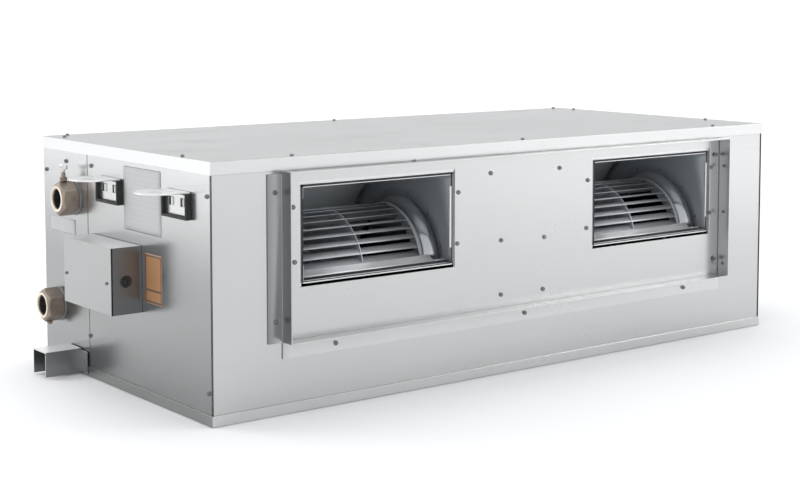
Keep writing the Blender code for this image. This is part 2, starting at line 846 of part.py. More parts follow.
def make_pipe_grommet(word, depth, height, rubber):
    """Rubber bush between the panel's hole and the neck, with its flange outside."""
    face = left_end + wall_set - seat
    bore = neck_radius + seat
    inner_end = left_end + wall_set + 2 * sheet
    profile = [
        (face - grommet_flange, bore), (face - grommet_flange, grommet_radius),
        (face, grommet_radius), (face, grommet_neck_radius()),
        (inner_end, grommet_neck_radius()), (inner_end, bore),
    ]
    place = (0.0, front_end + depth, height)
    turned(f"{word}_grommet", profile, 24, "YZ", rubber, closed=True, location=place)


def make_pipe_ends(copper, brass, rubber):
    for word, (depth, height) in zip(("supply", "return"), pipe_places()):
        make_header(word, depth, height, copper)
        make_coupling(word, depth, height, brass)
        make_pipe_grommet(word, depth, height, rubber)


def coupling_peak():
    """From a coupling's axis to the edge at its top."""
    return coupling_flats / 2 / math.cos(math.pi / 6)


def make_air_vent(brass, handle_steel):
    """Bleed valve on the upper coupling and its wing handle, which turns about Z."""
    bottom = supply_height + coupling_peak() + seat
    profile = [
        (0.0, vent_body_radius), (vent_body_height, vent_body_radius),
        (vent_body_height, vent_stem_radius), (vent_stem_height, vent_stem_radius),
    ]
    place = (left_end - vent_offset, front_end + coil_first_row, bottom)
    turned("air_vent_body", profile, 16, "XY", brass, location=place)
    handle_base = bottom + vent_stem_height + seat
    waist = vent_stem_radius
    half = handle_span / 2
    step = handle_height / 4
    outline = [
        (-waist, 0.0), (waist, 0.0), (waist, step), (half, 2 * step), (half, handle_height),
        (waist, handle_height - step), (-waist, handle_height - step), (-half, handle_height),
        (-half, 2 * step), (-waist, step),
    ]
    hole = circle(handle_hole, 8, (half * handle_hole_out, handle_height * handle_hole_up))
    pressed_plate(
        "vent_handle", outline, [hole], "YZ", -handle_thickness / 2, handle_thickness / 2,
        handle_steel, location=(place[0], place[1], handle_base))


def make_drain_plug(brass):
    top = return_height - coupling_peak() - seat
    profile = [
        (0.0, plug_radius), (-plug_length / 2, plug_radius), (-plug_length, plug_radius / 2),
    ]
    place = (left_end - vent_offset, front_end + coil_back_row(), top)
    turned("drain_plug", profile, 12, "XY", brass, location=place)


def make_drain(galvanised, plastic):
    """Tray under the coil and the spout that empties it through the right end."""
    end = -left_end - wall_set - sheet - tray_end_gap
    floor = liner_top + seat
    low = (-end, front_end + tray_front)
    high = (end, front_end + tray_back)
    made = tray("drain_tray", low, high, floor, floor + tray_height, tray_sheet, galvanised)
    place = (front_end + spout_depth, spout_height)
    hole = circle(spout_radius + seat, 16, place)
    cutter = extrusion("tray_drain_hole", hole, "YZ", end - spout_radius, end + tray_sheet, galvanised)
    boolean(made, cutter, "DIFFERENCE")
    start = end - tray_sheet - spout_wall
    outer = circle(spout_radius, 16, place)
    inner = circle(spout_radius - spout_wall, 16, place)
    spout = frame_loft(
        "drain_spout", outer, inner, "YZ", start, start + spout_length, plastic, smooth=True)
    return spout


def make_support_channel(galvanised):
    """Upside-down channel that carries the valves' drip tray, with a foot on the panel."""
    start = left_end - seat
    near = front_end + channel_front
    far = front_end + channel_back
    section = [
        (near, channel_bottom), (near, channel_top), (far, channel_top), (far, channel_bottom),
        (far - sheet, channel_bottom), (far - sheet, channel_top - sheet),
        (near + sheet, channel_top - sheet), (near + sheet, channel_bottom),
    ]
    channel = extrusion(
        "support_channel", section, "YZ", start - seat, start - channel_length, galvanised)
    foot = rectangle(
        (near - channel_foot, channel_bottom + sheet), (near + sheet / 2, channel_top - 2 * sheet))
    tab = extrusion("channel_foot_tab", foot, "YZ", start, start - sheet, galvanised)
    boolean(channel, tab, "UNION")


def make_box_shell(galvanised):
    """Open box on the left end; its open side faces away from the casing."""
    back = left_end + wall_set - seat
    rim = left_end - box_depth + box_sheet + seat
    low = (front_end + box_front, box_bottom)
    high = (front_end + box_back, box_top)
    outer = rectangle(low, high)
    inner = rectangle(
        (low[0] + box_sheet, low[1] + box_sheet), (high[0] - box_sheet, high[1] - box_sheet))
    rings = [ring(outer, "YZ", back), ring(outer, "YZ", rim)]
    rings += [ring(inner, "YZ", rim), ring(inner, "YZ", back - box_sheet)]
    shell = loft("electrical_box", rings, galvanised)
    cover_start = rim - seat
    extrusion("electrical_box_cover", outer, "YZ", cover_start, left_end - box_depth, galvanised)
    hole = circle(cable_grommet_neck + seat, 16, (left_end - cable_grommet_set, cable_grommet_height))
    near = front_end + box_front
    cutter = extrusion("box_cable_hole", hole, "XZ", near - box_sheet, near + 2 * box_sheet, galvanised)
    boolean(shell, cutter, "DIFFERENCE")


def make_box_fittings(rubber, plastic, aluminium):
    """Blind cable grommet, terminal strip and the two motors' run capacitors."""
    near = front_end + box_front
    inside = near + box_sheet
    lip = cable_grommet_proud
    profile = [
        (near - seat - lip, cable_grommet_radius - lip / 2), (near - seat - lip / 2, cable_grommet_radius),
        (near - seat, cable_grommet_radius), (near - seat, cable_grommet_neck),
        (inside + seat, cable_grommet_neck), (inside + seat, cable_grommet_radius),
        (inside + seat + lip, cable_grommet_radius),
    ]
    place = (left_end - cable_grommet_set, 0.0, cable_grommet_height)
    turned("cable_grommet", profile, 16, "XZ", rubber, location=place)
    floor = left_end + wall_set - seat - box_sheet - seat
    middle = front_end + (box_front + box_back) / 2
    first = middle - terminal_count * terminal_pitch / 2
    teeth = [(floor, first)]
    crest = floor - terminal_depth
    for index in range(terminal_count):
        start = first + index * terminal_pitch
        teeth += [(crest, start), (crest, start + terminal_pitch - terminal_groove)]
        teeth += [
            (crest + terminal_groove, start + terminal_pitch - terminal_groove),
            (crest + terminal_groove, start + terminal_pitch)]
    teeth.append((floor, first + terminal_count * terminal_pitch))
    bottom = box_bottom + 4 * box_sheet
    extrusion("terminal_block", teeth, "XY", bottom, bottom + terminal_height, plastic)
    height = box_top - box_sheet - capacitor_radius - seat
    half_room = (box_back - box_front) / 4
    for word, centre in (("left", middle - half_room), ("right", middle + half_room)):
        half = capacitor_length / 2
        chamfer = capacitor_radius / 5
        ends = [
            (-half, capacitor_radius - chamfer), (chamfer - half, capacitor_radius),
            (half - chamfer, capacitor_radius), (half, capacitor_radius - chamfer),
        ]
        spot = (floor - capacitor_radius, centre, height)
        turned(f"{word}_run_capacitor", ends, 16, "XZ", aluminium, location=spot)


def hanger_mesh(galvanised):
    """Back plate with two windows and a round-ended tongue with a slot for the rod.
    Local: X points into the casing from its end, Z is down from the tongue's top."""
    half = hanger_width / 2
    straight = hanger_reach - half
    steps = 10
    outline = [(-hanger_sheet / 2 - seat, -half), (-straight, -half)]
    for step in range(1, steps):
        angle = math.pi * step / steps
        outline.append((-straight - half * math.sin(angle), -half * math.cos(angle)))
    outline += [(-straight, half), (-hanger_sheet / 2 - seat, half)]
    slot = []
    run = (hanger_slot_length - hanger_slot_width) / 2
    for step in range(12):
        angle = math.pi * (step + 0.5) / 6
        shift = run if math.cos(angle) > 0 else -run
        slot.append((
            -hanger_slot_set + shift + hanger_slot_width / 2 * math.cos(angle),
            hanger_slot_width / 2 * math.sin(angle)))
    tongue = pressed_plate("hanger", outline, [slot], "XY", -hanger_sheet, 0.0, galvanised)
    inner = half - buffer_wall - seat
    windows = []
    for side in (-1, 1):
        centre = side * hanger_window_offset
        low = (centre - hanger_window / 2, -hanger_window_drop - hanger_window / 2)
        windows.append(rectangle(low, (low[0] + hanger_window, low[1] + hanger_window)))
    bottom = -hanger_drop + buffer_wall + seat
    back = rectangle((-inner, bottom), (inner, -hanger_sheet / 2))
    plate = pressed_plate("hanger_back", back, windows, "YZ", -hanger_sheet - seat, -seat, galvanised)
    boolean(tongue, plate, "UNION")
    mesh = bpy.data.meshes.new_from_object(tongue.evaluated_get(bpy.context.evaluated_depsgraph_get()))
    for step in (tongue, plate):
        bpy.data.objects.remove(step)
    return mesh


def buffer_mesh(rubber):
    """Rubber edge round the sides and the bottom of a hanger's back plate."""
    half = hanger_width / 2
    top = -hanger_sheet - seat
    inner = half - buffer_wall
    floor = -hanger_drop + buffer_wall
    outline = [
        (-half, top), (-half, -hanger_drop), (half, -hanger_drop), (half, top),
        (inner, top), (inner, floor), (-inner, floor), (-inner, top),
    ]
    rings = [ring(outline, "YZ", -seat), ring(outline, "YZ", -seat - buffer_depth)]
    shape = loft_shape(rings, False)
    bmesh.ops.recalc_face_normals(shape, faces=shape.faces)
    mesh = bpy.data.meshes.new("hanger_buffer")
    shape.to_mesh(mesh)
    shape.free()
    mesh.materials.append(rubber)
    return mesh


def make_hangers(galvanised, rubber):
    hanger = hanger_mesh(galvanised)
    buffer = buffer_mesh(rubber)
    face = left_end + wall_set
    for word, side_x, turn in (("left", face, 0.0), ("right", -face, math.pi)):
        for section, depth in zip(("front", "rear"), hanger_depths):
            place = (side_x, front_end + depth, hanger_top)
            place_mesh(f"{word}_{section}_hanger", hanger, location=place, turn=turn)
            place_mesh(f"{word}_{section}_hanger_buffer", buffer, location=place, turn=turn)


def rail_outline(near, web, tip):
    """Channel section of a filter rail: its web and the two legs up to the tip."""
    far = near + rail_width()
    inner_web = web + math.copysign(rail_sheet, tip - web)
    return [
        (near, web), (far, web), (far, tip), (far - rail_sheet, tip), (far - rail_sheet, inner_web),
        (near + rail_sheet, inner_web), (near + rail_sheet, tip), (near, tip),
    ]


def rail_width():
    return filter_thickness + 2 * filter_play + 2 * rail_sheet


def make_return_side(galvanised, frame_metal, filter_cloth):
    """Back plate with the return opening, two rails and two filters that slide out."""
    back = -front_end - wall_set
    outline = rectangle((left_end + wall_set, wall_set), (-left_end - wall_set, inner_top))
    margin = left_end + return_margin
    opening = rectangle((margin, return_sill), (-margin, return_head))
    frame_loft("return_frame", outline, opening, "XZ", back - sheet, back, galvanised)
    near = back + seat
    half = -left_end - rail_inset
    lower = rail_outline(near, rail_bottom, rail_bottom + rail_leg)
    upper = rail_outline(near, rail_top, rail_top - rail_leg)
    extrusion("filter_bottom_rail", lower, "YZ", -half, half, galvanised)
    extrusion("filter_top_rail", upper, "YZ", -half, half, galvanised)
    bottom = rail_bottom + rail_sheet + seat
    top = rail_top - rail_sheet - filter_play
    centre = near + rail_width() / 2
    for side, word in ((-1, "left"), (1, "right")):
        ends = sorted((side * seat, side * half))
        make_filter(word, ends, bottom, top, centre, frame_metal, filter_cloth)


def inset_rectangle(low, high, inset):
    return rectangle((low[0] + inset, low[1] + inset), (high[0] - inset, high[1] - inset))


def make_filter(word, ends, bottom, top, centre, frame_metal, filter_cloth):
    """Filter cassette: a channel frame, open to its inside, that holds a pleated cloth."""
    low = (ends[0], bottom)
    high = (ends[1], top)
    near = centre - filter_thickness / 2
    far = centre + filter_thickness / 2
    wall = filter_wall
    section = [
        (0.0, near), (0.0, far), (filter_border, far), (filter_border, far - wall),
        (wall, far - wall), (wall, near + wall), (filter_border, near + wall), (filter_border, near),
    ]
    rings = [ring(inset_rectangle(low, high, inset), "XZ", level) for inset, level in section]
    loft(f"{word}_filter_frame", rings, frame_metal, closed=True)
    first = low[0] + wall + seat
    last = high[0] - wall - seat
    pleats = 2 * round((last - first) / pleat_pitch)
    swing = filter_thickness / 2 - wall - seat - media_thickness
    path = []
    for index in range(pleats + 1):
        across = first + (last - first) * index / pleats
        path.append((across, centre + (swing if index % 2 else -swing)))
    outline = offset_path(path, -media_thickness / 2) + offset_path(path, media_thickness / 2)[::-1]
    outline = [(min(max(across, first), last), depth) for across, depth in outline]
    bottom_edge = low[1] + wall + seat
    top_edge = high[1] - wall - seat
    extrusion(f"{word}_filter_media", outline, "XY", bottom_edge, top_edge, filter_cloth)


def build():
    clear_scene()
    galvanised = make_material("galvanised_sheet", (0.78, 0.79, 0.80), 0.22, 1.0)
    wheel_steel = make_material("wheel_steel", (0.62, 0.64, 0.67), 0.30, 1.0)
    steel = make_material("bright_steel", (0.70, 0.70, 0.71), 0.25, 1.0)
    paint = make_material("motor_paint", (0.30, 0.31, 0.33), 0.45, 0.3)
    aluminium = make_material("aluminium", (0.82, 0.83, 0.85), 0.35, 1.0)
    copper = make_material("copper", (0.72, 0.42, 0.28), 0.30, 1.0)
    brass = make_material("brass", (0.40, 0.34, 0.29), 0.40, 0.9)
    rubber = make_material("rubber", (0.03, 0.03, 0.03), 0.80, 0.0)
    foam = make_material("foam", (0.07, 0.07, 0.08), 0.95, 0.0)
    plastic = make_material("plastic", (0.12, 0.12, 0.13), 0.50, 0.0)
    frame_metal = make_material("filter_frame", (0.70, 0.71, 0.72), 0.45, 0.8)
    filter_cloth = make_material("filter_cloth", (0.80, 0.82, 0.84), 0.95, 0.0)
    make_casing(galvanised, foam)
    panels = make_end_panels(galvanised)
    cut_pipe_holes(panels["left_rear_panel"], galvanised)
    cut_drain_hole(panels["right_rear_panel"], galvanised)
    make_front_plate(galvanised)
    make_duct_collar(galvanised)
    make_blowers(galvanised, wheel_steel, paint, steel)
    make_coil(aluminium, galvanised, copper)
    make_pipe_ends(copper, brass, rubber)
    make_air_vent(brass, steel)
    make_drain_plug(brass)
    make_drain(galvanised, plastic)
    make_support_channel(galvanised)
    make_box_shell(galvanised)
    make_box_fittings(rubber, plastic, aluminium)
    make_hangers(galvanised, rubber)
    make_return_side(galvanised, frame_metal, filter_cloth)


build()
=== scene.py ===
# Ducted fan coil unit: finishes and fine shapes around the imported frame.
# Metres. X runs to the right, Y from the outlets to the return air side, Z up.

import json
import math

import bmesh
import bpy
import numpy as np
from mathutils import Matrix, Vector


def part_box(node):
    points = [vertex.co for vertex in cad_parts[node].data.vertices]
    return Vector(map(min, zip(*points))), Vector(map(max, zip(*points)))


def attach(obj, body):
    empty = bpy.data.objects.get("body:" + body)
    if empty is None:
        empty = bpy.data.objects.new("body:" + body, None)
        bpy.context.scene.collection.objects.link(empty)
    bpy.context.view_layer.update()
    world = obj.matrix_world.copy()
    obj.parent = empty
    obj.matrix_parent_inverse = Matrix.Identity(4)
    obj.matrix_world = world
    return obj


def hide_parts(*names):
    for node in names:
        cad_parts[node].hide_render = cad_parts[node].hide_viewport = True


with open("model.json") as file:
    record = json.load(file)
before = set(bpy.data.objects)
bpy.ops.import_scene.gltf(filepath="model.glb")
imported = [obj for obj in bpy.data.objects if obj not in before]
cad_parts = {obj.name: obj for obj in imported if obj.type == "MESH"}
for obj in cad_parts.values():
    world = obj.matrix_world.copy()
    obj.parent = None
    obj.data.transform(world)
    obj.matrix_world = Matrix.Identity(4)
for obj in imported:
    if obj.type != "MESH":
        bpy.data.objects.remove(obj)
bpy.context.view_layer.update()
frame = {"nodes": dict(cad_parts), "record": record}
nodes = frame["nodes"]
bodies = frame["record"]["behaviour"]["bodies"]
bodyOf = {node: body for body, held in bodies.items() for node in held}
slotOf = {part["node"]: part["material_slot"] for part in frame["record"]["subparts"]}

mm = 0.001
weldGap = 0.002 * mm
turn = 2 * math.pi


# shader maths
class Wire:  # one output socket; sums and products of wires add their own Math nodes
    def __init__(self, finish, socket):
        self.finish = finish
        self.socket = socket

    def maths(self, operation, first, second):
        return self.finish.add("ShaderNodeMath", {"operation": operation}, {0: first, 1: second})

    def __add__(self, other):
        return self.maths("ADD", self, other)

    def __radd__(self, other):
        return self.maths("ADD", other, self)

    def __sub__(self, other):
        return self.maths("SUBTRACT", self, other)

    def __rsub__(self, other):
        return self.maths("SUBTRACT", other, self)

    def __mul__(self, other):
        return self.maths("MULTIPLY", self, other)

    def __rmul__(self, other):
        return self.maths("MULTIPLY", other, self)

    def __abs__(self):
        return self.finish.add("ShaderNodeMath", {"operation": "ABSOLUTE"}, {0: self})

    def rise(self, low, high):  # smooth step from 0 at low to 1 at high
        span = {"Value": self, "From Min": low, "From Max": high}
        return self.finish.add("ShaderNodeMapRange", {"interpolation_type": "SMOOTHSTEP"}, span)


class Finish:  # a material, or the world, while its nodes are laid
    def __init__(self, name, owner=None):
        self.owner = owner or bpy.data.materials.new(name)
        self.owner.use_nodes = True
        self.tree = self.owner.node_tree
        self.shader = self.tree.nodes.get("Principled BSDF")

    def add(self, kind, settings=None, inputs=None, output=0):
        node = self.tree.nodes.new(kind)
        for key, value in (settings or {}).items():
            setattr(node, key, value)
        for key, value in (inputs or {}).items():
            self.plug(node.inputs[key], value)
        return Wire(self, node.outputs[output])

    def plug(self, socket, value):
        if isinstance(value, Wire):
            self.tree.links.new(value.socket, socket)
        elif socket.type == "RGBA" and len(value) == 3:
            socket.default_value = (*value, 1.0)
        else:
            socket.default_value = value

    def give(self, **values):  # plugs values into the shader; baseColor means Base Color
        for key, value in values.items():
            title = "".join(" " + letter if letter.isupper() else letter for letter in key)
            self.plug(self.shader.inputs[title[:1].upper() + title[1:]], value)
        return self

    def place(self, stretch=(1, 1, 1)):
        spot = self.add("ShaderNodeTexCoord", output=3)
        return self.add("ShaderNodeMapping", {}, {"Vector": spot, "Scale": stretch})

    def noise(self, scale, detail=2.0, stretch=(1, 1, 1), rough=0.5):
        spot = self.place(stretch)
        inputs = {"Vector": spot, "Scale": scale, "Detail": detail, "Roughness": rough}
        return self.add("ShaderNodeTexNoise", {}, inputs)

    def cells(self, scale, stretch=(1, 1, 1)):  # one even random value in each crystal
        inputs = {"Vector": self.place(stretch), "Scale": scale}
        tint = self.add("ShaderNodeTexVoronoi", {"feature": "F1"}, inputs, output=1)
        return self.add("ShaderNodeSeparateColor", {}, {"Color": tint})

    def blend(self, share, first, second):
        inputs = {0: share, 6: first, 7: second}
        settings = {"data_type": "RGBA", "clamp_factor": True}
        return self.add("ShaderNodeMix", settings, inputs, output=2)

    def bump(self, height, depth, strength=1.0):
        inputs = {"Height": height, "Distance": depth, "Strength": strength}
        return self.add("ShaderNodeBump", {}, inputs)

    def axis(self, index):  # one coordinate of the object's own space, in metres
        return self.add("ShaderNodeSeparateXYZ", {}, {"Vector": self.place()}, output=index)


# mesh tools
def boxOf(node):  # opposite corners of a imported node
    return [np.array(corner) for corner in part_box(node)]


def spread(*coordinates):  # x, y and z of any shapes that fit together, as one array of points
    return np.stack(np.broadcast_arrays(*coordinates), -1)


def evenAngles(count):
    return np.arange(count) * turn / count


def offFlat(angles):  # angle to the middle of the nearest side of a hexagon
    flat = turn / 6
    return (angles + flat / 2) % flat - flat / 2


def lattice(rows, columns, wrapRows, wrapColumns, copies):
    # corner numbers of the quads between neighbouring rows and columns, for all copies at once
    index = np.arange(rows * columns).reshape(rows, columns)
    if wrapRows:
        index = np.vstack([index, index[:1]])
    if wrapColumns:
        index = np.hstack([index, index[:, :1]])
    quads = np.stack([index[:-1, :-1], index[:-1, 1:], index[1:, 1:], index[1:, :-1]], -1)
    starts = np.arange(copies) * rows * columns
    return (quads.reshape(1, -1, 4) + starts[:, None, None]).reshape(-1, 4)


def surface(name, points, wrapRows=False, wrapColumns=False):
    # points is an array (..., rows, columns, 3); whatever stands before rows counts copies
    rows, columns = points.shape[-3:-1]
    corners = np.ascontiguousarray(points, dtype=float).reshape(-1, 3)
    copies = len(corners) // (rows * columns)
    quads = lattice(rows, columns, wrapRows, wrapColumns, copies)
    return meshOf(name, corners, quads)


def meshOf(name, corners, quads):
    mesh = bpy.data.meshes.new(name)
    mesh.from_pydata(corners.tolist(), [], quads.tolist())
    return weld(mesh)


def weld(mesh):  # joins doubled corners at seams and poles and drops corners that nothing uses
    shape = bmesh.new()
    shape.from_mesh(mesh)
    bmesh.ops.remove_doubles(shape, verts=shape.verts, dist=weldGap)
    bmesh.ops.delete(shape, geom=[v for v in shape.verts if not v.link_faces], context="VERTS")
    bmesh.ops.recalc_face_normals(shape, faces=shape.faces)
    shape.to_mesh(mesh)
    shape.free()
    return mesh


def plate(name, across, up, keep, lay):
    # a flat sheet ruled by two lists of lines; keep says which cells hold metal,
    # and lay turns the two lists' lattice into points in space
    first, second = np.meshgrid(across, up, indexing="ij")
    corners = lay(first, second).reshape(-1, 3)
    quads = lattice(len(across), len(up), False, False, 1)
    return meshOf(name, corners, quads[np.asarray(keep, bool).reshape(-1)])


def volumeOf(piece):  # signed volume: the sum of the tetrahedra from the origin to each triangle
    held = piece.evaluated_get(bpy.context.evaluated_depsgraph_get())
    shape = held.to_mesh()
    shape.calc_loop_triangles()
    spots = np.empty(len(shape.vertices) * 3)
    shape.vertices.foreach_get("co", spots)
    corners = np.empty(len(shape.loop_triangles) * 3, dtype=np.int32)
    shape.loop_triangles.foreach_get("vertices", corners)
    a, b, c = spots.reshape(-1, 3)[corners.reshape(-1, 3)].transpose(1, 0, 2)
    held.to_mesh_clear()
    return float((a * np.cross(b, c)).sum()) / 6


def makePiece(mesh, finish, body="casing", slot="galvanised", wall=0.0, offset=0.0, edge=0.0,
              steps=2, smoothing=35, even=True, replaced=()):
    # wall gives a sheet its thickness, edge rounds its corners; both stay as modifiers
    mesh.materials.clear()
    mesh.materials.append(finish)
    mesh.shade_smooth()
    mesh.set_sharp_from_angle(angle=math.radians(smoothing))
    piece = bpy.data.objects.new(mesh.name, mesh)
    bpy.context.scene.collection.objects.link(piece)
    if wall:
        shell = piece.modifiers.new("wall", "SOLIDIFY")
        shell.thickness = wall
        shell.offset = offset
        shell.use_even_offset = even
    if edge:
        rounding = piece.modifiers.new("edge", "BEVEL")
        rounding.width = edge
        rounding.segments = steps
        rounding.limit_method = "ANGLE"
        rounding.angle_limit = math.radians(30)
        rounding.harden_normals = True
    if volumeOf(piece) < 0:
        if wall:
            shell.use_flip_normals = True
        else:
            mesh.flip_normals()
    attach(piece, body)
    if replaced:
        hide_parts(*replaced)
    return piece


def softened(node, finish, edge=0.4 * mm, steps=2, sides=None):
    # a copy of a imported node whose loose triangles are merged, flattened and given round edges;
    # sides names another finish for what faces along an axis, 0 to 2: lighter and darker copies
    # of the zinc sheet, painted light and painted shade by the way a face points
    mesh = nodes[node].data.copy()
    mesh.name = node + "_sheet"
    shape = bmesh.new()
    shape.from_mesh(mesh)
    bmesh.ops.remove_doubles(shape, verts=shape.verts, dist=0.01 * mm)
    merged = math.radians(0.5)
    bmesh.ops.dissolve_limit(shape, angle_limit=merged, verts=shape.verts, edges=shape.edges)
    sides = sides or {}
    turned = [(face.index, count + 1) for count, axis in enumerate(sides) for face in shape.faces
              if abs(face.normal[axis]) > 0.9]
    shape.to_mesh(mesh)
    shape.free()
    piece = makePiece(mesh, finish, bodyOf[node], slotOf[node], edge=edge, steps=steps,
                      replaced=[node])
    for other in sides.values():
        mesh.materials.append(other)
    for index, place in turned:
        mesh.polygons[index].material_index = place
    return piece


def paint(finish, *kept):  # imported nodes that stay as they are, in a new finish
    for node in kept:
        nodes[node].material_slots[0].material = finish


def revolve(name, profile, centre, axis="X", sides=48, closed=True):
    # a profile of (place along the axis, radius) turned round the axis through the centre
    along, radius = np.array(profile, dtype=float).T[:, :, None]
    angles = evenAngles(sides)
    first, second = radius * np.cos(angles), radius * np.sin(angles)
    stack = (along, first, second) if axis == "X" else (first, along, second)
    return surface(name, spread(*stack) + centre, wrapRows=closed, wrapColumns=True)


def bars(name, lows, highs):
    # boxes from opposite corners: ring of four corners swept along X, both ends drawn to a point
    lows, highs = np.array(lows, dtype=float), np.array(highs, dtype=float)
    pick = np.array([(0, 0, 0), (0, 1, 0), (0, 1, 1), (0, 0, 1)])
    near = lows[:, None] + pick * (highs - lows)[:, None]
    far = near + np.array([1, 0, 0]) * (highs - lows)[:, None]
    ends = [np.repeat(side.mean(1, keepdims=True), 4, axis=1) for side in (near, far)]
    return surface(name, np.stack([ends[0], near, far, ends[1]], 1), wrapColumns=True)


def bend(centre, radius, start, end, count):
    # points of an arc in the profile's plane: centre plus radius times (cos, sin) of even angles
    angles = np.radians(np.linspace(start, end, count))
    return np.stack([centre[0] + radius * np.cos(angles), centre[1] + radius * np.sin(angles)], -1)


print("frame loaded:", len(nodes), "nodes")


# finishes
def sheetMetal(name, looks):
    # zinc coat: slow clouds change its tone and gloss, crystals and rolling leave faint marks;
    # shade is painted shade, which darkens the tone from one place to another along an axis
    finish = Finish(name)
    cloud = finish.noise(looks["cloud"], 3)
    streak = finish.noise(looks["streak"], 3, looks["rolling"])
    crystal = finish.cells(looks["crystal"])
    smear = finish.noise(looks["smear"], 4, rough=0.65).rise(0.55, 0.75)
    tone = cloud * 0.7 + crystal * looks["spangle"] + streak * 0.2
    colour = finish.blend(tone, looks["dark"], looks["light"])
    if "shade" in looks:
        index, start, end = looks["shadeRun"]
        colour = finish.blend(finish.axis(index).rise(start, end), looks["shade"], colour)
    gloss = looks["rough"] + (cloud - 0.5) * 0.08 + (streak - 0.5) * 0.05 + smear * 0.03
    buckle = finish.noise(looks["buckle"], 1)
    relief = finish.bump(buckle, looks["buckleDepth"])
    fine = finish.add("ShaderNodeBump", {}, {
        "Height": streak + crystal * 0.3, "Distance": looks["grainDepth"], "Strength": 0.35,
        "Normal": relief})
    finish.give(baseColor=colour, metallic=looks["metallic"], roughness=gloss, normal=fine)
    return finish.owner


sheetLooks = {
    "rough": 0.25, "metallic": 0.94, "cloud": 1.8, "streak": 5.0, "rolling": (1.0, 30.0, 30.0),
    "crystal": 160.0, "spangle": 0.1, "smear": 9.0, "buckle": 2.2, "buckleDepth": 1.2 * mm,
    "grainDepth": 0.004 * mm,
}


def grey(level, blue=0.005):
    return (level, level + 0.005, level + blue)


def sheet(name, dark, light, **changes):
    return sheetMetal(name, dict(sheetLooks, dark=dark, light=light, **changes))


galvanised = sheet("galvanisedSheet", grey(0.57), grey(0.66))
# end panels and the pan's ends: a lighter copy of the zinc sheet, painted light, with painted shade
# that darkens it towards the bottom
endLitShadedSheet = sheet("galvanisedEndLitShaded", grey(0.74), grey(0.84), shade=grey(0.30),
                 shadeRun=(2, 0.16, 0.42))
# inside the blower housings: a darker copy of the zinc sheet, painted shade for the unlit interior
innerShadedSheet = sheet("galvanisedInsideShaded", (0.27, 0.29, 0.31), (0.36, 0.385, 0.41), rough=0.40,
                   metallic=0.45)
# the collar's walls: a darker copy of the zinc sheet, painted shade, darkest at the left and
# lighter towards the right
wallShadedSheet = sheet("galvanisedWallShaded", grey(0.44, 0.01), grey(0.50, 0.01), rough=0.30,
                  shade=grey(0.26, 0.01), shadeRun=(0, -0.40, 0.40))
# the collar's forward faces: painted shadow of the collar's left wall, dark left of x = -0.47 m and
# gone by -0.42 m
footShadowSheet = sheet("galvanisedFootShadow", grey(0.57), grey(0.66), shade=grey(0.17, 0.01),
                  shadeRun=(0, -0.47, -0.42))
# forward faces of the box, its lid and the channel: a dark copy of the zinc sheet, painted shade
# standing in for the casing's shadow
sideShadeSheet = sheet("galvanisedShade", grey(0.22, 0.01), grey(0.27, 0.01), rough=0.30)
# the top cover's upward faces: a darker copy of the zinc sheet, painted shade
coverTopShadedSheet = sheet("galvanisedCoverTopShaded", grey(0.28), grey(0.33), buckleDepth=0.5 * mm)
# the box lid's end-facing faces: a darker copy of the zinc sheet, painted shade
lidShadedSheet = sheet("galvanisedLidShaded", grey(0.33), grey(0.39))
bellSheet = sheet("galvanisedBell", (0.42, 0.435, 0.45), (0.50, 0.515, 0.53), rough=0.15,
                  buckleDepth=0.1 * mm)
# the scroll wrap inside the housings: a much lighter copy of the zinc sheet with little metal in
# it, painted light for the ceiling seen through the outlets
wrapLitSheet = sheet("galvanisedWrapLit", (0.78, 0.82, 0.84), (0.88, 0.92, 0.94), rough=0.45,
                  metallic=0.10)
# the top cover's end-facing flanges and the hanger tongues: a lighter copy of the zinc sheet,
# painted light
lipLitSheet = sheet("galvanisedLipLit", grey(0.76), grey(0.82), rough=0.3)
# the front plate's forward faces: a darker copy of the zinc sheet, painted shade
plateShadedSheet = sheet("galvanisedPlateShaded", grey(0.51), grey(0.59))
# tops of the box, its lid and the channel, the scroll lips and the hanger tabs: a near-white copy
# of the zinc sheet, painted light
paintedLightSheet = sheet("galvanisedPaintedLight", (0.84, 0.85, 0.86), (0.93, 0.93, 0.93), rough=0.24, metallic=0.5)
wheelSteel = sheet("wheelSteel", (0.50, 0.52, 0.54), (0.64, 0.66, 0.68), rough=0.46, metallic=0.60,
                   rolling=(40.0, 4.0, 4.0), buckleDepth=0.2 * mm)
screwSteel = sheet("screwZinc", (0.13, 0.13, 0.135), (0.27, 0.27, 0.275), rough=0.30, crystal=900.0,
                   cloud=60.0, buckleDepth=0.05 * mm)


def castMetal(name, **looks):
    # a cast or drawn metal with a dull skin: fine pits, blotches, brighter where it is machined
    finish = Finish(name)
    blotch = finish.noise(looks["blotch"], 4, rough=0.6)
    grit = finish.noise(looks["grit"], 2)
    colour = finish.blend(blotch.rise(0.35, 0.68), looks["dark"], looks["light"])
    gloss = looks["rough"] + (blotch - 0.5) * 0.25 + (grit - 0.5) * 0.12
    relief = finish.bump(grit + blotch * 0.5, looks["pitDepth"], 0.6)
    finish.give(baseColor=colour, metallic=looks["metallic"], roughness=gloss, normal=relief)
    return finish.owner


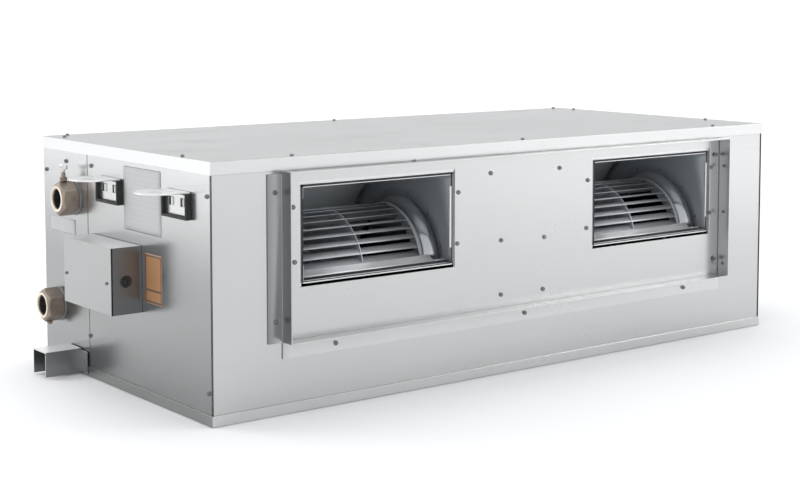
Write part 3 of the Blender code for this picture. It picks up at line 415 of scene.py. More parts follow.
brass = castMetal("agedBrass",
    dark=(0.22, 0.18, 0.145), light=(0.34, 0.285, 0.23), rough=0.50, metallic=0.40,
    blotch=45.0, grit=900.0, pitDepth=0.06 * mm)
machinedBrass = castMetal("machinedBrass",
    dark=(0.74, 0.65, 0.53), light=(0.90, 0.82, 0.70), rough=0.45, metallic=0.30,
    blotch=60.0, grit=1200.0, pitDepth=0.02 * mm)
copper = castMetal("drawnCopper",
    dark=(0.42, 0.20, 0.12), light=(0.78, 0.42, 0.27), rough=0.30, metallic=1.0,
    blotch=25.0, grit=500.0, pitDepth=0.02 * mm)
brightSteel = castMetal("turnedSteel",
    dark=(0.42, 0.42, 0.43), light=(0.66, 0.66, 0.67), rough=0.25, metallic=1.0,
    blotch=70.0, grit=1500.0, pitDepth=0.01 * mm)
aluminium = castMetal("millAluminium",
    dark=(0.66, 0.68, 0.70), light=(0.85, 0.86, 0.87), rough=0.36, metallic=1.0,
    blotch=18.0, grit=400.0, pitDepth=0.02 * mm)
motorPaint = castMetal("motorPaint",
    dark=(0.16, 0.17, 0.18), light=(0.27, 0.28, 0.29), rough=0.42, metallic=0.25,
    blotch=30.0, grit=700.0, pitDepth=0.05 * mm)
filterMetal = castMetal("filterFrameMetal",
    dark=(0.55, 0.56, 0.57), light=(0.74, 0.75, 0.76), rough=0.40, metallic=0.85,
    blotch=12.0, grit=300.0, pitDepth=0.03 * mm)


def softSolid(name, **looks):
    # rubber, foam and plastic: a matt skin with dust in patches and a moulded grain
    finish = Finish(name)
    dust = finish.noise(looks["dustScale"], 4, rough=0.6).rise(0.45, 0.80)
    grain = finish.noise(looks["grain"], 2)
    pore = finish.cells(looks["pore"])
    colour = finish.blend(dust * looks["dusty"], looks["colour"], looks["dust"])
    gloss = looks["rough"] + (grain - 0.5) * 0.15
    relief = finish.bump(grain + pore * looks["porous"], looks["depth"], 0.7)
    finish.give(baseColor=colour, roughness=gloss, normal=relief, metallic=0.0)
    return finish.owner


rubber = softSolid("blackRubber",
    colour=(0.014, 0.014, 0.015), dust=(0.10, 0.10, 0.10), dusty=0.5, dustScale=40.0,
    grain=900.0, pore=700.0, porous=0.2, rough=0.62, depth=0.05 * mm)
foam = softSolid("linerFoam",
    colour=(0.03, 0.03, 0.034), dust=(0.12, 0.12, 0.12), dusty=0.4, dustScale=12.0,
    grain=300.0, pore=450.0, porous=0.9, rough=0.92, depth=0.4 * mm)
plastic = softSolid("mouldedPlastic",
    colour=(0.035, 0.037, 0.04), dust=(0.15, 0.15, 0.15), dusty=0.3, dustScale=30.0,
    grain=600.0, pore=500.0, porous=0.2, rough=0.45, depth=0.04 * mm)
greyPlastic = softSolid("pipePlastic",
    colour=(0.23, 0.24, 0.25), dust=(0.4, 0.4, 0.4), dusty=0.4, dustScale=30.0,
    grain=500.0, pore=500.0, porous=0.2, rough=0.42, depth=0.04 * mm)


def fleece(name, **looks):
    # filter cloth: crossing fibres, a little grey dust in its clouds
    finish = Finish(name)
    warp = finish.noise(looks["fibre"], 3, (1, 1, 0.08))
    weft = finish.noise(looks["fibre"], 3, (0.1, 1, 1))
    cloud = finish.noise(looks["cloud"], 4, rough=0.6)
    colour = finish.blend(cloud * 0.55 + warp * 0.25 + weft * 0.2, looks["dusty"], looks["clean"])
    relief = finish.bump(warp + weft, looks["depth"])
    gloss = 0.92 + (warp - 0.5) * 0.1
    finish.give(baseColor=colour, roughness=gloss, normal=relief, metallic=0.0)
    return finish.owner


filterCloth = fleece("filterFleece",
    fibre=700.0, cloud=9.0, dusty=(0.52, 0.54, 0.55), clean=(0.86, 0.88, 0.89),
    depth=0.5 * mm)


def paperTag(name, looks):
    # a tag with a thin edge line; rows of pale rules stand where it is printed
    finish = Finish(name)
    alongY = finish.axis(1)
    alongZ = finish.axis(2)
    inY = abs(alongY - looks["centre"][0]) - (looks["size"][0] / 2 - looks["margin"])
    inZ = abs(alongZ - looks["centre"][1]) - (looks["size"][1] / 2 - looks["margin"])
    far = inY.maths("MAXIMUM", inY, inZ)
    line = 1 - abs(far).rise(looks["line"] * 0.5, looks["line"])
    fibre = finish.noise(400.0, 3)
    cloud = finish.noise(18.0, 3)
    stock = finish.blend(cloud * 0.6 + fibre * 0.4, looks["shade"], looks["stock"])
    rules = 0.0
    if looks["rules"]:
        pitch = alongZ.maths("PINGPONG", alongZ, looks["rules"] / 2)
        rules = (1 - pitch.rise(0.10 * mm, 0.45 * mm)) * (1 - far.rise(-4 * mm, -2 * mm)) * 0.25
    marks = line * looks["strength"] + rules
    if looks["divider"]:
        across = abs(alongZ - looks["divider"]).rise(looks["line"] * 0.5, looks["line"])
        marks = marks + (1 - across) * (1 - far.rise(-0.2 * mm, 0.2 * mm)) * looks["strength"]
    colour = finish.blend(marks, stock, looks["ink"])
    relief = finish.bump(fibre, 0.02 * mm)
    gloss = looks["rough"] + (fibre - 0.5) * 0.1
    finish.give(baseColor=colour, roughness=gloss, normal=relief, metallic=0.0)
    return finish.owner


print("finishes made:", len(bpy.data.materials))


# casing
panLow = boxOf("base_pan")[0]
coverLow, coverHigh = boxOf("top_cover")
faceLow, faceHigh = boxOf("front_panel")
backFace = boxOf("return_frame")[1][1]
endFace = boxOf("left_front_panel")[0][0]
leftEnd, frontEnd = panLow[:2]

foldedSheets = {
    "base_pan": 0.6, "top_cover": 0.6, "left_front_panel": 0.4, "left_rear_panel": 0.4,
    "right_front_panel": 0.4, "right_rear_panel": 0.4, "front_panel": 0.3, "return_frame": 0.3,
    "duct_collar": 0.3, "support_channel": 0.4, "electrical_box": 0.3,
    "electrical_box_cover": 0.4, "filter_bottom_rail": 0.3, "filter_top_rail": 0.3,
}
# faces along an axis that take lighter and darker copies of the zinc sheet: painted light and
# painted shade
litAndShadedSides = {
    "top_cover": {0: lipLitSheet, 2: coverTopShadedSheet}, "duct_collar": {0: wallShadedSheet, 1: footShadowSheet},
    "front_panel": {1: plateShadedSheet}, "base_pan": {0: endLitShadedSheet},
    "electrical_box": {1: sideShadeSheet, 2: paintedLightSheet},
    "electrical_box_cover": {0: lidShadedSheet, 1: sideShadeSheet, 2: paintedLightSheet},
    "support_channel": {1: sideShadeSheet, 2: paintedLightSheet},
}
# end panels take the lighter end sheet: painted light above, painted shade towards the bottom
for node, edge in foldedSheets.items():
    isEnd = node.endswith("_panel") and node != "front_panel"
    softened(node, endLitShadedSheet if isEnd else galvanised, edge * mm, sides=litAndShadedSides.get(node))
print("folded sheets softened:", len(foldedSheets))


def makeSeams():
    # painted shadow: narrow dark strips in the black rubber finish laid in the joints between
    # sheets: the front corner and the middle of both ends, then the lid's front edge, the box's
    # rear edge and its top fold
    proud, sunk, width = 0.1 * mm, 0.3 * mm, 1.5 * mm
    corner = {"in": 0.4 * mm, "width": 2.2 * mm, "foot": 8 * mm}
    lidLow, lidHigh = boxOf("electrical_box_cover")
    boxLow, boxHigh = boxOf("electrical_box")
    halves = boxOf("left_rear_panel")[0][1]
    lows, highs = [], []
    for outer in (-1, 1):
        near, far = sorted((outer * -(endFace - proud), outer * -(endFace + sunk)))
        for start, wide, low in (
                (frontEnd + corner["in"], corner["width"], panLow[2] + corner["foot"]),
                (halves - width, width, boxHigh[2])):
            lows.append((near, start, low))
            highs.append((far, start + wide, coverLow[2]))
    fold = lidLow[0] + sunk
    lows += [(fold, lidLow[1] - proud, lidLow[2]), (lidHigh[0], boxLow[1] - proud, boxLow[2]),
             (endFace - width, boxLow[1], boxHigh[2] - proud)]
    highs += [(fold + width, lidLow[1] + 0.2 * mm, lidHigh[2]),
              (lidHigh[0] + width, boxLow[1] + 0.2 * mm, boxHigh[2]),
              (endFace, boxHigh[1], boxHigh[2] + proud)]
    makePiece(bars("seam_shadows", lows, highs), rubber, slot="rubber")


makeSeams()


# screws
screw = {"flange": 3.5 * mm, "head": 2.6 * mm, "height": 2.5 * mm, "sides": 24}


def screwHeads(name, places, outward, size=1.0):
    # washer-faced hexagon heads: rings of (radius, height, share of hexagon), where the hexagon
    # stretches a radius by 1 / cos of the angle to the nearest flat; a sunk disc closes the top
    f, h, t = (screw[key] * size for key in ("flange", "head", "height"))
    rings = np.array([
        (f, 0.0, 0), (f, 0.10 * t, 0), (0.93 * f, 0.19 * t, 0), (1.05 * h, 0.26 * t, 0.6),
        (h, 0.34 * t, 1), (h, 0.86 * t, 1), (0.93 * h, 0.97 * t, 0.7), (0.84 * h, t, 0),
        (0.62 * h, t, 0), (0.45 * h, 0.78 * t, 0), (0.0, 0.74 * t, 0)])
    angles = evenAngles(screw["sides"])
    nearest = offFlat(angles)
    radius = rings[:, :1] * (1 + rings[:, 2:] * (1 / np.cos(nearest) - 1))
    outward = np.array(outward, dtype=float)
    across = np.roll(np.abs(outward), 1)
    along = np.cross(outward, across)
    places = np.array(places, dtype=float)
    tilt = np.arange(len(places)) * 2.4      # each head stops at its own angle
    cos = np.cos(angles + tilt[:, None])[:, None, :, None]
    sin = np.sin(angles + tilt[:, None])[:, None, :, None]
    shape = radius[None, :, :, None] * (cos * across + sin * along)
    shape = shape + rings[None, :, 1, None, None] * outward + places[:, None, None, :]
    makePiece(surface(name, shape, wrapColumns=True), screwSteel, slot="bright_steel")


def acrossFace(spots, corner, level, axis):
    # flat places in mm from a corner, laid on the plane where the given axis has the level
    return np.insert(np.array(spots) * mm + corner, axis, level, axis=1)


collarLow, collarHigh = boxOf("duct_collar")
collar = {"foot": 23 * mm, "sheet": 1.5 * mm, "gap": 0.3 * mm}
wallIn = collar["foot"] + collar["sheet"]
wallSpots = [(-264.5, 284), (-264.5, 207), (-264.5, 120)]
endSpots = [(12, 43), (12, 304), (429, 317), (498, 299), (377, 17), (357, 62), (345, 317)]
screwRows = {  # places, corner they count from, level, axis, side of the face, size
    "front_screws": (
        [(129, 281), (131, 206), (417, 280), (415, 205), (678, 280), (676, 205), (963, 282),
         (961, 206), (335, 331), (479, 304), (618, 303), (500, 202), (587, 199), (500, 120),
         (585, 119)], (leftEnd, 0), faceLow[1], 1, -1, 1.0),
    "collar_foot_screws": (
        [(99, 303), (99, 128), (197, 87), (546, 87), (897, 87), (972, 303), (972, 128)],
        (leftEnd, 0), faceLow[1] - collar["gap"] - collar["sheet"], 1, -1, 1.0),
    "left_end_screws": (endSpots, (frontEnd, 0), endFace, 0, -1, 1.0),
    "right_end_screws": (endSpots, (frontEnd, 0), -endFace, 0, 1, 1.0),
    "cover_screws": (
        [(38, 500), (20, 472), (12, 93), (132, 9), (550, 11), (977, 12), (1070, 502), (1078, 453),
         (1078, 118), (545, 500)], panLow[:2], coverHigh[2], 2, 1, 0.9),
    "back_screws": ([(x, z) for x in (25, 205, 385, 545, 705, 885, 1065) for z in (340, 10)],
                    (leftEnd, 0), backFace, 1, 1, 0.9),
    "collar_wall_screws": (wallSpots, (0, 0), collarHigh[0] - wallIn, 0, -1, 0.8),
    "collar_left_wall_screws": (wallSpots, (0, 0), collarLow[0] + wallIn, 0, 1, 0.8),
}
for name, (spots, corner, level, axis, way, size) in screwRows.items():
    screwHeads(name, acrossFace(spots, corner, level, axis), way * np.eye(3)[axis], size)
print("screws set")


# blowers
blower = {
    "half": 132 * mm, "sheet": 1.5 * mm, "floor": 11 * mm, "mouth": -126.4 * mm,
    "firstRadius": 102 * mm, "lastRadius": 145.5 * mm, "lip": 10.0, "steps": 84,
    "throat": 78.5 * mm, "bendRadius": 20 * mm, "rim": 100.5 * mm, "reach": 111 * mm,
    "lipRound": 8 * mm,
}


def scrollPath():
    # seen along X, round the wheel's axis: outlet floor, round lip, then a spiral whose radius
    # grows evenly from the first to the last over 270 degrees and the lip's angle, then the top;
    # the lip is a parabola between a point of the floor and a point of the spiral
    sweep = np.radians(np.linspace(-blower["lip"], 270, blower["steps"]))
    share = np.linspace(0, 1, blower["steps"])
    radius = blower["firstRadius"] + (blower["lastRadius"] - blower["firstRadius"]) * share
    spiral = np.stack([-radius * np.cos(sweep), -radius * np.sin(sweep)], -1)
    start = np.array([blower["mouth"], blower["floor"]])
    end = (blower["mouth"], blower["lastRadius"])
    corner = spiral[0]
    before = corner + (start - corner) * blower["lipRound"] / np.linalg.norm(start - corner)
    after = spiral[2]
    t = np.linspace(0, 1, 7)[:, None]
    nose = (1 - t) ** 2 * before + 2 * t * (1 - t) * corner + t ** 2 * after
    return np.vstack([start, nose, spiral[3:], end])


def scrollWrap(name, centre):
    # the path carried straight along X from side plate to side plate
    path = scrollPath()[:, None]
    width = np.linspace(-blower["half"], blower["half"], 5)
    return surface(name, spread(width, path[..., 0], path[..., 1]) + centre)


def sidePlate(name, centre, hand):
    # straight lines from the round eye to the scroll's path: point = eye + share * (path - eye)
    path = scrollPath()
    closing = np.linspace(path[-1], path[0], 12)[1:-1]
    outline = np.vstack([path, closing])
    lead = np.linspace(630, 704, 11)
    eyeAngles = np.radians(np.concatenate([np.linspace(350, 629, len(path) - 1), lead]))
    eye = -blower["rim"] * 0.985 * np.stack([np.cos(eyeAngles), np.sin(eyeAngles)], -1)
    share = np.linspace(0, 1, 4)[:, None, None]
    flat = eye + share * (outline - eye)
    level = hand * (blower["half"] + blower["sheet"] / 2)
    return surface(name, spread(level, flat[..., 0], flat[..., 1]) + centre, wrapColumns=True)


def inletBell(name, centre, hand):
    # a quarter round from the side plate's face into the wheel's eye, turned about the axis
    plate = blower["half"] + 2 * mm
    mouth = blower["throat"] + blower["bendRadius"]
    outer = bend((plate - blower["bendRadius"], mouth), blower["bendRadius"], 0, -90, 12)
    inner = bend((plate - blower["bendRadius"], mouth), blower["bendRadius"] - 1.2 * mm, -90, 0, 12)
    rim = [(plate, blower["rim"]), (plate - 1.2 * mm, blower["rim"])]
    tip = [(blower["reach"], blower["throat"]), (blower["reach"], blower["throat"] + 1.2 * mm)]
    profile = np.vstack([rim[:1], outer, tip, inner, rim[1:]])
    profile[:, 0] *= hand
    return revolve(name, profile, centre, sides=72)


def outletFlange(name, centre):
    # frame behind the front plate, ruled so that its middle cell is the outlet
    across = np.array([-154, -blower["half"] / mm, blower["half"] / mm, 154]) * mm
    up = np.array([-12, 11, 145.5, 167.5]) * mm
    keep = np.ones((3, 3))
    keep[1, 1] = 0
    return plate(name, across, up, keep, lambda first, second: centre + spread(
        first, blower["mouth"] + 0.7 * mm, second))


def rivetDomes(name, places, outward, radius=2.4 * mm):
    # half domes: radius * cos(a) across and 0.45 radius * sin(a) out
    lift = np.radians(np.linspace(0, 90, 5))[:, None, None]
    angles = evenAngles(12)
    outward = np.array(outward, dtype=float)
    across = np.roll(np.abs(outward), 1)
    along = np.cross(outward, across)
    ring = np.cos(angles)[:, None] * across + np.sin(angles)[:, None] * along
    dome = radius * np.cos(lift) * ring + 0.45 * radius * np.sin(lift) * outward
    base = 0.35 * radius * outward
    skirt = np.concatenate([(radius * ring - base)[None], dome])
    return surface(name, skirt + np.array(places)[:, None, None, :], wrapColumns=True)


mouth = {"low": 200 * mm, "high": 290 * mm, "gap": 3.4 * mm, "sheet": 1.2 * mm, "depth": 2.2 * mm,
         "tab": 3.4 * mm, "drop": 5.0 * mm, "beyond": 2.6 * mm}


lipPath = np.array([(-113.5, 14.6), (-108.0, 16.8), (-103.5, 19.6), (-100.6, 22.2), (-98.8, 23.0),
                    (-97.6, 22.2), (-97.8, 20.0)]) * mm


def straightRun(name, path, near, far, centre):
    # a path of (y, z) carried straight along X
    return surface(name, spread([near, far], path[:, None, 0], path[:, None, 1]) + centre)


def makeMouthEdges(side, centre):
    # painted shadow: dark strips in the foam finish fill the gap between the front plate and the
    # housing; inside them stand the cut edges of the sheets, whole above and below, in short
    # stretches at the left, and a tab at the right; seen from the front each is a box
    gap, sheet = mouth["gap"], mouth["sheet"]
    face = faceHigh[1] + 0.4 * mm
    behind = face + sheet
    back = behind + mouth["depth"]
    top = centre[2] + blower["lastRadius"]
    floor = centre[2] + blower["floor"]
    left, right = centre[0] - blower["half"], centre[0] + blower["half"]
    inner = left + gap
    below = floor - mouth["drop"]
    beyond = right + mouth["beyond"]
    lows = [(left, face, top - gap), (left, face, below), (left, face, below),
            (right - sheet, face, below)]
    highs = [(beyond, behind, top), (inner, behind, top), (beyond, behind, floor + gap / 2),
             (beyond, behind, top)]
    makePiece(bars(f"{side}_mouth_shadow", lows, highs), foam, slot="foam")
    lows = [(inner, behind, top - gap - sheet), (inner, behind, mouth["high"]),
            (inner, behind, floor + gap / 2), (inner, face - 0.2 * mm, floor - sheet),
            (right - sheet - mouth["tab"], face, mouth["low"])]
    highs = [(right, back, top - gap), (inner + sheet, back, top - gap),
             (inner + sheet, back, mouth["low"]), (right, behind, floor + sheet / 2),
             (right - sheet, behind, mouth["high"])]
    makePiece(bars(f"{side}_mouth_edges", lows, highs), galvanised)
    # painted shadow: a dark strip in the foam finish on the outlet's floor, from the mouth to the
    # lip
    run = np.array([(blower["mouth"] + 5 * mm, blower["floor"] + 2.4 * mm),
                    lipPath[0] + [0, 0.4 * mm]])
    wide = blower["half"] - 1 * mm
    makePiece(straightRun(f"{side}_floor_shadow", run, -wide, wide, centre), foam, slot="foam",
              wall=0.5 * mm)


def makeHousing(side, centre):
    node = f"{side}_blower_housing"
    makePiece(scrollWrap(f"{side}_scroll_wrap", centre), wrapLitSheet, wall=1.2 * mm, offset=0.6,
              even=False, replaced=[node])
    # the lip's rounded nose in the near-white sheet: painted light
    start = 4 * mm - blower["half"]
    lip = straightRun(f"{side}_scroll_lip", lipPath, start, blower["reach"], centre)
    makePiece(lip, paintedLightSheet, wall=0.6 * mm)
    makePiece(outletFlange(f"{side}_outlet_flange", centre), galvanised, wall=1.2 * mm,
              edge=0.2 * mm)
    for hand, word in ((-1, "near"), (1, "far")):
        makePiece(sidePlate(f"{side}_{word}_side_plate", centre, hand), innerShadedSheet,
                  wall=1.2 * mm)
        makePiece(inletBell(f"{side}_{word}_inlet_bell", centre, hand), bellSheet)
    angles = np.radians(np.arange(12, 372, 30))
    rim = blower["rim"] + 6 * mm
    for hand, word in ((-1, "near"), (1, "far")):
        level = hand * (blower["half"] - 0.2 * mm)
        spots = spread(level, rim * np.cos(angles), rim * np.sin(angles)) + centre
        makePiece(rivetDomes(f"{side}_{word}_rivets", spots, (-hand, 0, 0)), screwSteel,
                  slot="bright_steel")
    makeMouthEdges(side, centre)


wheel = {
    "half": 108 * mm, "inner": 74.5 * mm, "outer": 89.5 * mm, "ring": 90.5 * mm, "blades": 36,
    "sweep": 9.0, "blade": 0.7 * mm, "disc": 89.6 * mm, "hub": 16 * mm, "hubHalf": 15 * mm,
    "bore": 6.3 * mm,
}


def bladeSet(name, centre):
    # u runs along the chord, v along the axis; radius = inner + u * chord and the angle leads
    # by sweep * u squared; one blade each 10 degrees, split by the middle disc
    chord = np.linspace(0, 1, 7)[:, None]
    reach = np.array([-1.0, 0.0, 1.0]) * (wheel["half"] - 1.0 * mm)
    radius = wheel["inner"] + (wheel["outer"] - wheel["inner"]) * chord
    lead = np.radians(wheel["sweep"]) * chord ** 2
    angle = evenAngles(wheel["blades"])[:, None, None] + lead
    points = spread(reach, radius * np.cos(angle), radius * np.sin(angle))
    return surface(name, points + centre)


def makeWheel(side, centre):
    body = f"{side}_wheel"
    style = {"body": body, "slot": "wheel_steel"}
    makePiece(bladeSet(f"{side}_wheel_blades", centre), wheelSteel, wall=wheel["blade"],
              replaced=[body], **style)
    inner, outer, half = wheel["inner"] - 1 * mm, wheel["ring"], wheel["half"]
    fold, sheet = 1.2 * mm, 0.8 * mm
    for hand, word in ((-1, "near"), (1, "far")):
        lipIn = bend((half - fold, inner + fold), fold, -90, 0, 5)
        lipOut = bend((half - fold, outer - fold), fold, 0, 90, 5)
        behind = np.array([(6 * mm, outer), (6 * mm, outer - sheet), (1.9 * mm, outer - sheet),
                           (1.9 * mm, inner + sheet), (3 * mm, inner + sheet)])
        behind[:, 0] = half - behind[:, 0]
        profile = np.vstack([[(half - 3 * mm, inner)], lipIn, lipOut, behind]) * [hand, 1]
        makePiece(revolve(f"{side}_wheel_{word}_ring", profile, centre, sides=72),
                  wheelSteel, **style)
    hub, bore, disc, end = (wheel[key] for key in ("hub", "bore", "disc", "hubHalf"))
    profile = [
        (-end, bore), (-end, hub - 1 * mm), (-end + 1 * mm, hub), (-4 * mm, hub),
        (-3 * mm, hub + 8 * mm), (-0.6 * mm, hub + 14 * mm), (-0.6 * mm, disc), (0.6 * mm, disc),
        (0.6 * mm, hub + 14.5 * mm), (-1.8 * mm, hub + 8.5 * mm), (-2.6 * mm, hub + 1 * mm),
        (end - 1 * mm, hub), (end, hub - 1 * mm), (end, bore)]
    makePiece(revolve(f"{side}_wheel_disc", profile, centre, sides=72),
              wheelSteel, **style)
    angles = np.radians(np.arange(0, 360, 60))
    ring = 38 * mm
    spots = spread(0.5 * mm, ring * np.cos(angles), ring * np.sin(angles))
    rivets = rivetDomes(f"{side}_wheel_rivets", spots + centre, (1, 0, 0), 3 * mm)
    makePiece(rivets, wheelSteel, **style)


def makeMotor(side):
    # turned shell with rounded end bells, a crimped seam and cooling grooves
    low, high = boxOf(f"{side}_blower_motor")
    centre = np.array([0, (low[1] + high[1]) / 2, (low[2] + high[2]) / 2])
    outer = (high[1] - low[1]) / 2
    corner = 9 * mm
    grooves = np.linspace(0.24, 0.76, 6) * (high[0] - low[0]) + low[0]
    steps = np.array([(-2.0, 0.0), (-1.0, -1.6), (1.0, -1.6), (2.0, 0.0)]) * mm
    ribs = (np.stack([grooves, 0 * grooves + outer], -1)[:, None, :] + steps).reshape(-1, 2)
    tail = [(low[0], 0.0), (low[0], 12 * mm), (low[0] + 2.5 * mm, 14 * mm),
            (low[0] + 2.5 * mm, 30 * mm), (low[0], 33 * mm)]
    nose = [(high[0], 20 * mm), (high[0], 8 * mm), (high[0] - 1 * mm, 6.6 * mm),
            (high[0] - 1 * mm, 0.0)]
    profile = np.vstack([tail, bend((low[0] + corner, outer - corner), corner, 180, 90, 8), ribs,
                         bend((high[0] - corner, outer - corner), corner, 90, 0, 8), nose])
    makePiece(revolve(f"{side}_motor_shell", profile, centre, sides=64, closed=False), motorPaint,
              slot="motor_paint", replaced=[f"{side}_blower_motor"])
    angles = np.radians(np.arange(45, 360, 90))
    ring = 41 * mm
    for word, level, hand in (("tail", low[0], -1), ("nose", high[0], 1)):
        spots = spread(level - hand * 0.8 * mm, ring * np.cos(angles), ring * np.sin(angles))
        bolts = rivetDomes(f"{side}_motor_{word}_bolts", spots + centre, (hand, 0, 0), 3.2 * mm)
        makePiece(bolts, screwSteel, slot="bright_steel")


for side in ("left", "right"):
    centre = sum(boxOf(f"{side}_wheel")) / 2
    makeHousing(side, centre)
    makeWheel(side, centre)
    makeMotor(side)
    softened(f"{side}_motor_bracket", galvanised, 0.3 * mm)
    paint(brightSteel, f"{side}_wheel_shaft")
print("blowers made")


# water coil
coil = {"finPitch": 2.4 * mm, "fin": 0.16 * mm, "ripple": 0.35 * mm, "folds": 9}


def makeCoil():
    # thin upright plates one behind another along X; ripple * cos(pi * count) bends them to and fro
    low, high = boxOf("coil_fins")
    places = np.arange(low[0] + 1 * mm, high[0] - 1 * mm, coil["finPitch"])[:, None, None]
    ripple = coil["ripple"] * np.cos(np.arange(coil["folds"]) * math.pi)[:, None]
    depth = np.linspace(low[1], high[1], coil["folds"])[:, None]
    points = spread(places + ripple, depth, [low[2], high[2]])
    makePiece(surface("coil_fin_plates", points), aluminium, slot="aluminium", wall=coil["fin"],
              replaced=["coil_fins"])


makeCoil()
paint(galvanised, "coil_left_tube_sheet", "coil_right_tube_sheet", "coil_top_baffle")
paint(copper, "supply_header", "return_header")
softened("drain_tray", galvanised, 0.3 * mm)
for node in ("base_liner", "top_liner"):
    softened(node, foam, 0.8 * mm)
print("coil made")


# pipe ends
union = {"flats": 45 * mm, "chamfer": 19 * mm, "bore": 15 * mm, "thread": 0.55 * mm,
         "pitch": 2.3 * mm, "lead": 1.6 * mm}


def hexUnion(word):
    # radius = the smaller of a hexagon's radius and a cone that starts at each chamfered face;
    # the bore carries a thread, radius = bore + thread * triangle(place / pitch - angle / turn)
    node = f"{word}_coupling"
    low, high = boxOf(node)
    angles = evenAngles(144)
    hexagon = union["flats"] / 2 / np.cos(offFlat(angles))
    peak = union["flats"] / 2 / math.cos(turn / 12)
    stretches = ((0, 0.22, 8), (0.3, 0.86, 5), (0.9, 1, 5))
    outer = np.concatenate([np.linspace(*stretch) for stretch in stretches])
    level = low[0] + outer[:, None] * (high[0] - low[0])
    cone = union["chamfer"] + 0.4 * mm + (level - low[0]) * (peak - union["chamfer"]) / (4.6 * mm)
    rearCone = union["flats"] / 2 + (high[0] - level) * 1.6
    skin = np.minimum(np.minimum(hexagon, cone), rearCone)
    inner = np.linspace(high[0], low[0] + union["lead"], 64)[:, None]
    wave = abs(((inner / union["pitch"] - angles / turn) % 1.0) * 2 - 1)
    fade = np.clip((inner - low[0] - union["lead"]) / (2 * mm), 0, 1)
    bore = union["bore"] + union["thread"] * (wave - 0.3) * fade
    lead = union["bore"] + 1.2 * mm + 0 * angles[None]
    radius = np.vstack([skin, bore, lead])
    rows = np.vstack([level, inner, [[low[0]]]])
    points = spread(rows, radius * np.cos(angles), radius * np.sin(angles))
    points[..., 1:] += (low + high)[1:] / 2
    makePiece(surface(f"{word}_union_nut", points, wrapRows=True, wrapColumns=True), brass,
              slot="brass", replaced=[node], smoothing=28)


def unionRings(word):
    # the machined face, a flat ring with a rounded outer edge, and painted shadow in the bore:
    # a dark cup in the black rubber finish, a little narrower than the thread
    low, high = boxOf(f"{word}_coupling")
    centre = (low + high) / 2 * [0, 1, 1]
    face = low[0]
    ring = [(0.9, 19.6), (-0.2, 19.5), (-0.5, 18.9), (-0.5, 16.2), (0.9, 15.4)]
    profile = [(face + step * mm, radius * mm) for step, radius in ring]
    makePiece(revolve(f"{word}_union_face", profile, centre, sides=96),
              machinedBrass, slot="brass")
    wall = union["bore"] - 0.1 * mm
    start, end = face + 3 * mm, high[0] - 3 * mm
    profile = [(start, wall), (start, wall - 0.4 * mm), (end, wall - 0.4 * mm), (end, 0.0),
               (high[0] - 2 * mm, 0.0), (high[0] - 2 * mm, wall)]
    makePiece(revolve(f"{word}_union_bore_shadow", profile, centre), rubber, slot="rubber")


for word in ("supply", "return"):
    hexUnion(word)
    unionRings(word)
    paint(greyPlastic, f"{word}_grommet")


def makeVent():
    # body of stacked rings with a knurl, radius = knurl + 0.25 mm * cos(24 angles)
    low, high = boxOf("air_vent_body")
    axis = (low + high) / 2
    angles = evenAngles(96)
    rings = np.array([(0.0, 0.0, 0), (0.0, 5.3, 0), (0.3, 5.5, 0), (1.2, 5.5, 0), (1.6, 5.2, 1),
                      (4.8, 5.2, 1), (5.2, 5.5, 0), (6.0, 5.1, 0), (6.2, 3.2, 0), (8.0, 2.9, 0),
                      (8.4, 3.3, 0), (11.0, 3.3, 0), (11.4, 2.8, 0), (12.9, 2.8, 0),
                      (12.9, 0.0, 0)])
    radius = rings[:, 1:2] + rings[:, 2:] * 0.25 * np.cos(24 * angles)
    points = spread(radius * np.cos(angles), radius * np.sin(angles), rings[:, :1]) * mm
    points = points + [axis[0], axis[1], low[2]]
    makePiece(surface("vent_body_rings", points, wrapColumns=True), brass, slot="brass",
              replaced=["air_vent_body"])
    softened("vent_handle", brightSteel, 0.5 * mm)


makeVent()
softened("drain_plug", brass, 0.3 * mm)


def makeSpout():
    # hose tail: a tube whose outside swells in a row of barbs towards its mouth
    low, high = boxOf("drain_spout")
    axis = (low + high) / 2
    outer = (high[1] - low[1]) / 2
    barbs = np.arange(5) * 5 * mm + high[0] - 27 * mm
    tooth = np.array([(0.0, -0.9), (3.6, 0.0), (4.2, 0.0), (4.4, -0.9)]) * mm
    teeth = (np.stack([barbs, 0 * barbs + outer], -1)[:, None, :] + tooth).reshape(-1, 2)
    inner = outer - 1.5 * mm
    profile = np.vstack([[(low[0], outer - 0.9 * mm)], teeth,
                         [(high[0] - 0.6 * mm, outer - 0.9 * mm), (high[0], outer - 1.2 * mm),
                          (high[0], inner), (low[0], inner)]])
    makePiece(revolve("drain_hose_tail", profile, (0, axis[1], axis[2]), sides=48),
              greyPlastic, slot="plastic", replaced=["drain_spout"])


makeSpout()
print("pipe ends made")


# electrical box
def makeBoxFittings():
    # blind grommet: stepped rings round a domed middle, as (depth, radius) in mm
    low, high = boxOf("cable_grommet")
    rings = np.array([(6.0, 0.0), (6.0, 8.4), (4.0, 8.4), (4.0, 6.4), (2.0, 6.4), (2.0, 8.3),
                      (1.3, 8.5), (0.5, 8.1), (0.0, 7.2), (0.1, 6.0), (0.9, 5.2), (0.9, 3.4),
                      (0.3, 2.6), (0.2, 0.0)]) * mm
    rings[:, 0] = np.minimum(low[1] + rings[:, 0], high[1])
    shape = revolve("blind_grommet", rings, (low + high) / 2 * [1, 0, 1], "Y", closed=False)
    makePiece(shape, rubber, slot="rubber", replaced=["cable_grommet"])
    lidLow, lidHigh = boxOf("electrical_box_cover")
    corners = [(lidLow[1], 0), (lidHigh[1], 0)]
    spots = acrossFace([(13, 167), (-8, 165)], corners, lidLow[0], 0)
    screwHeads("box_cover_screws", spots, (-1, 0, 0), 0.75)


makeBoxFittings()
paint(plastic, "terminal_block")
paint(aluminium, "left_run_capacitor", "right_run_capacitor")


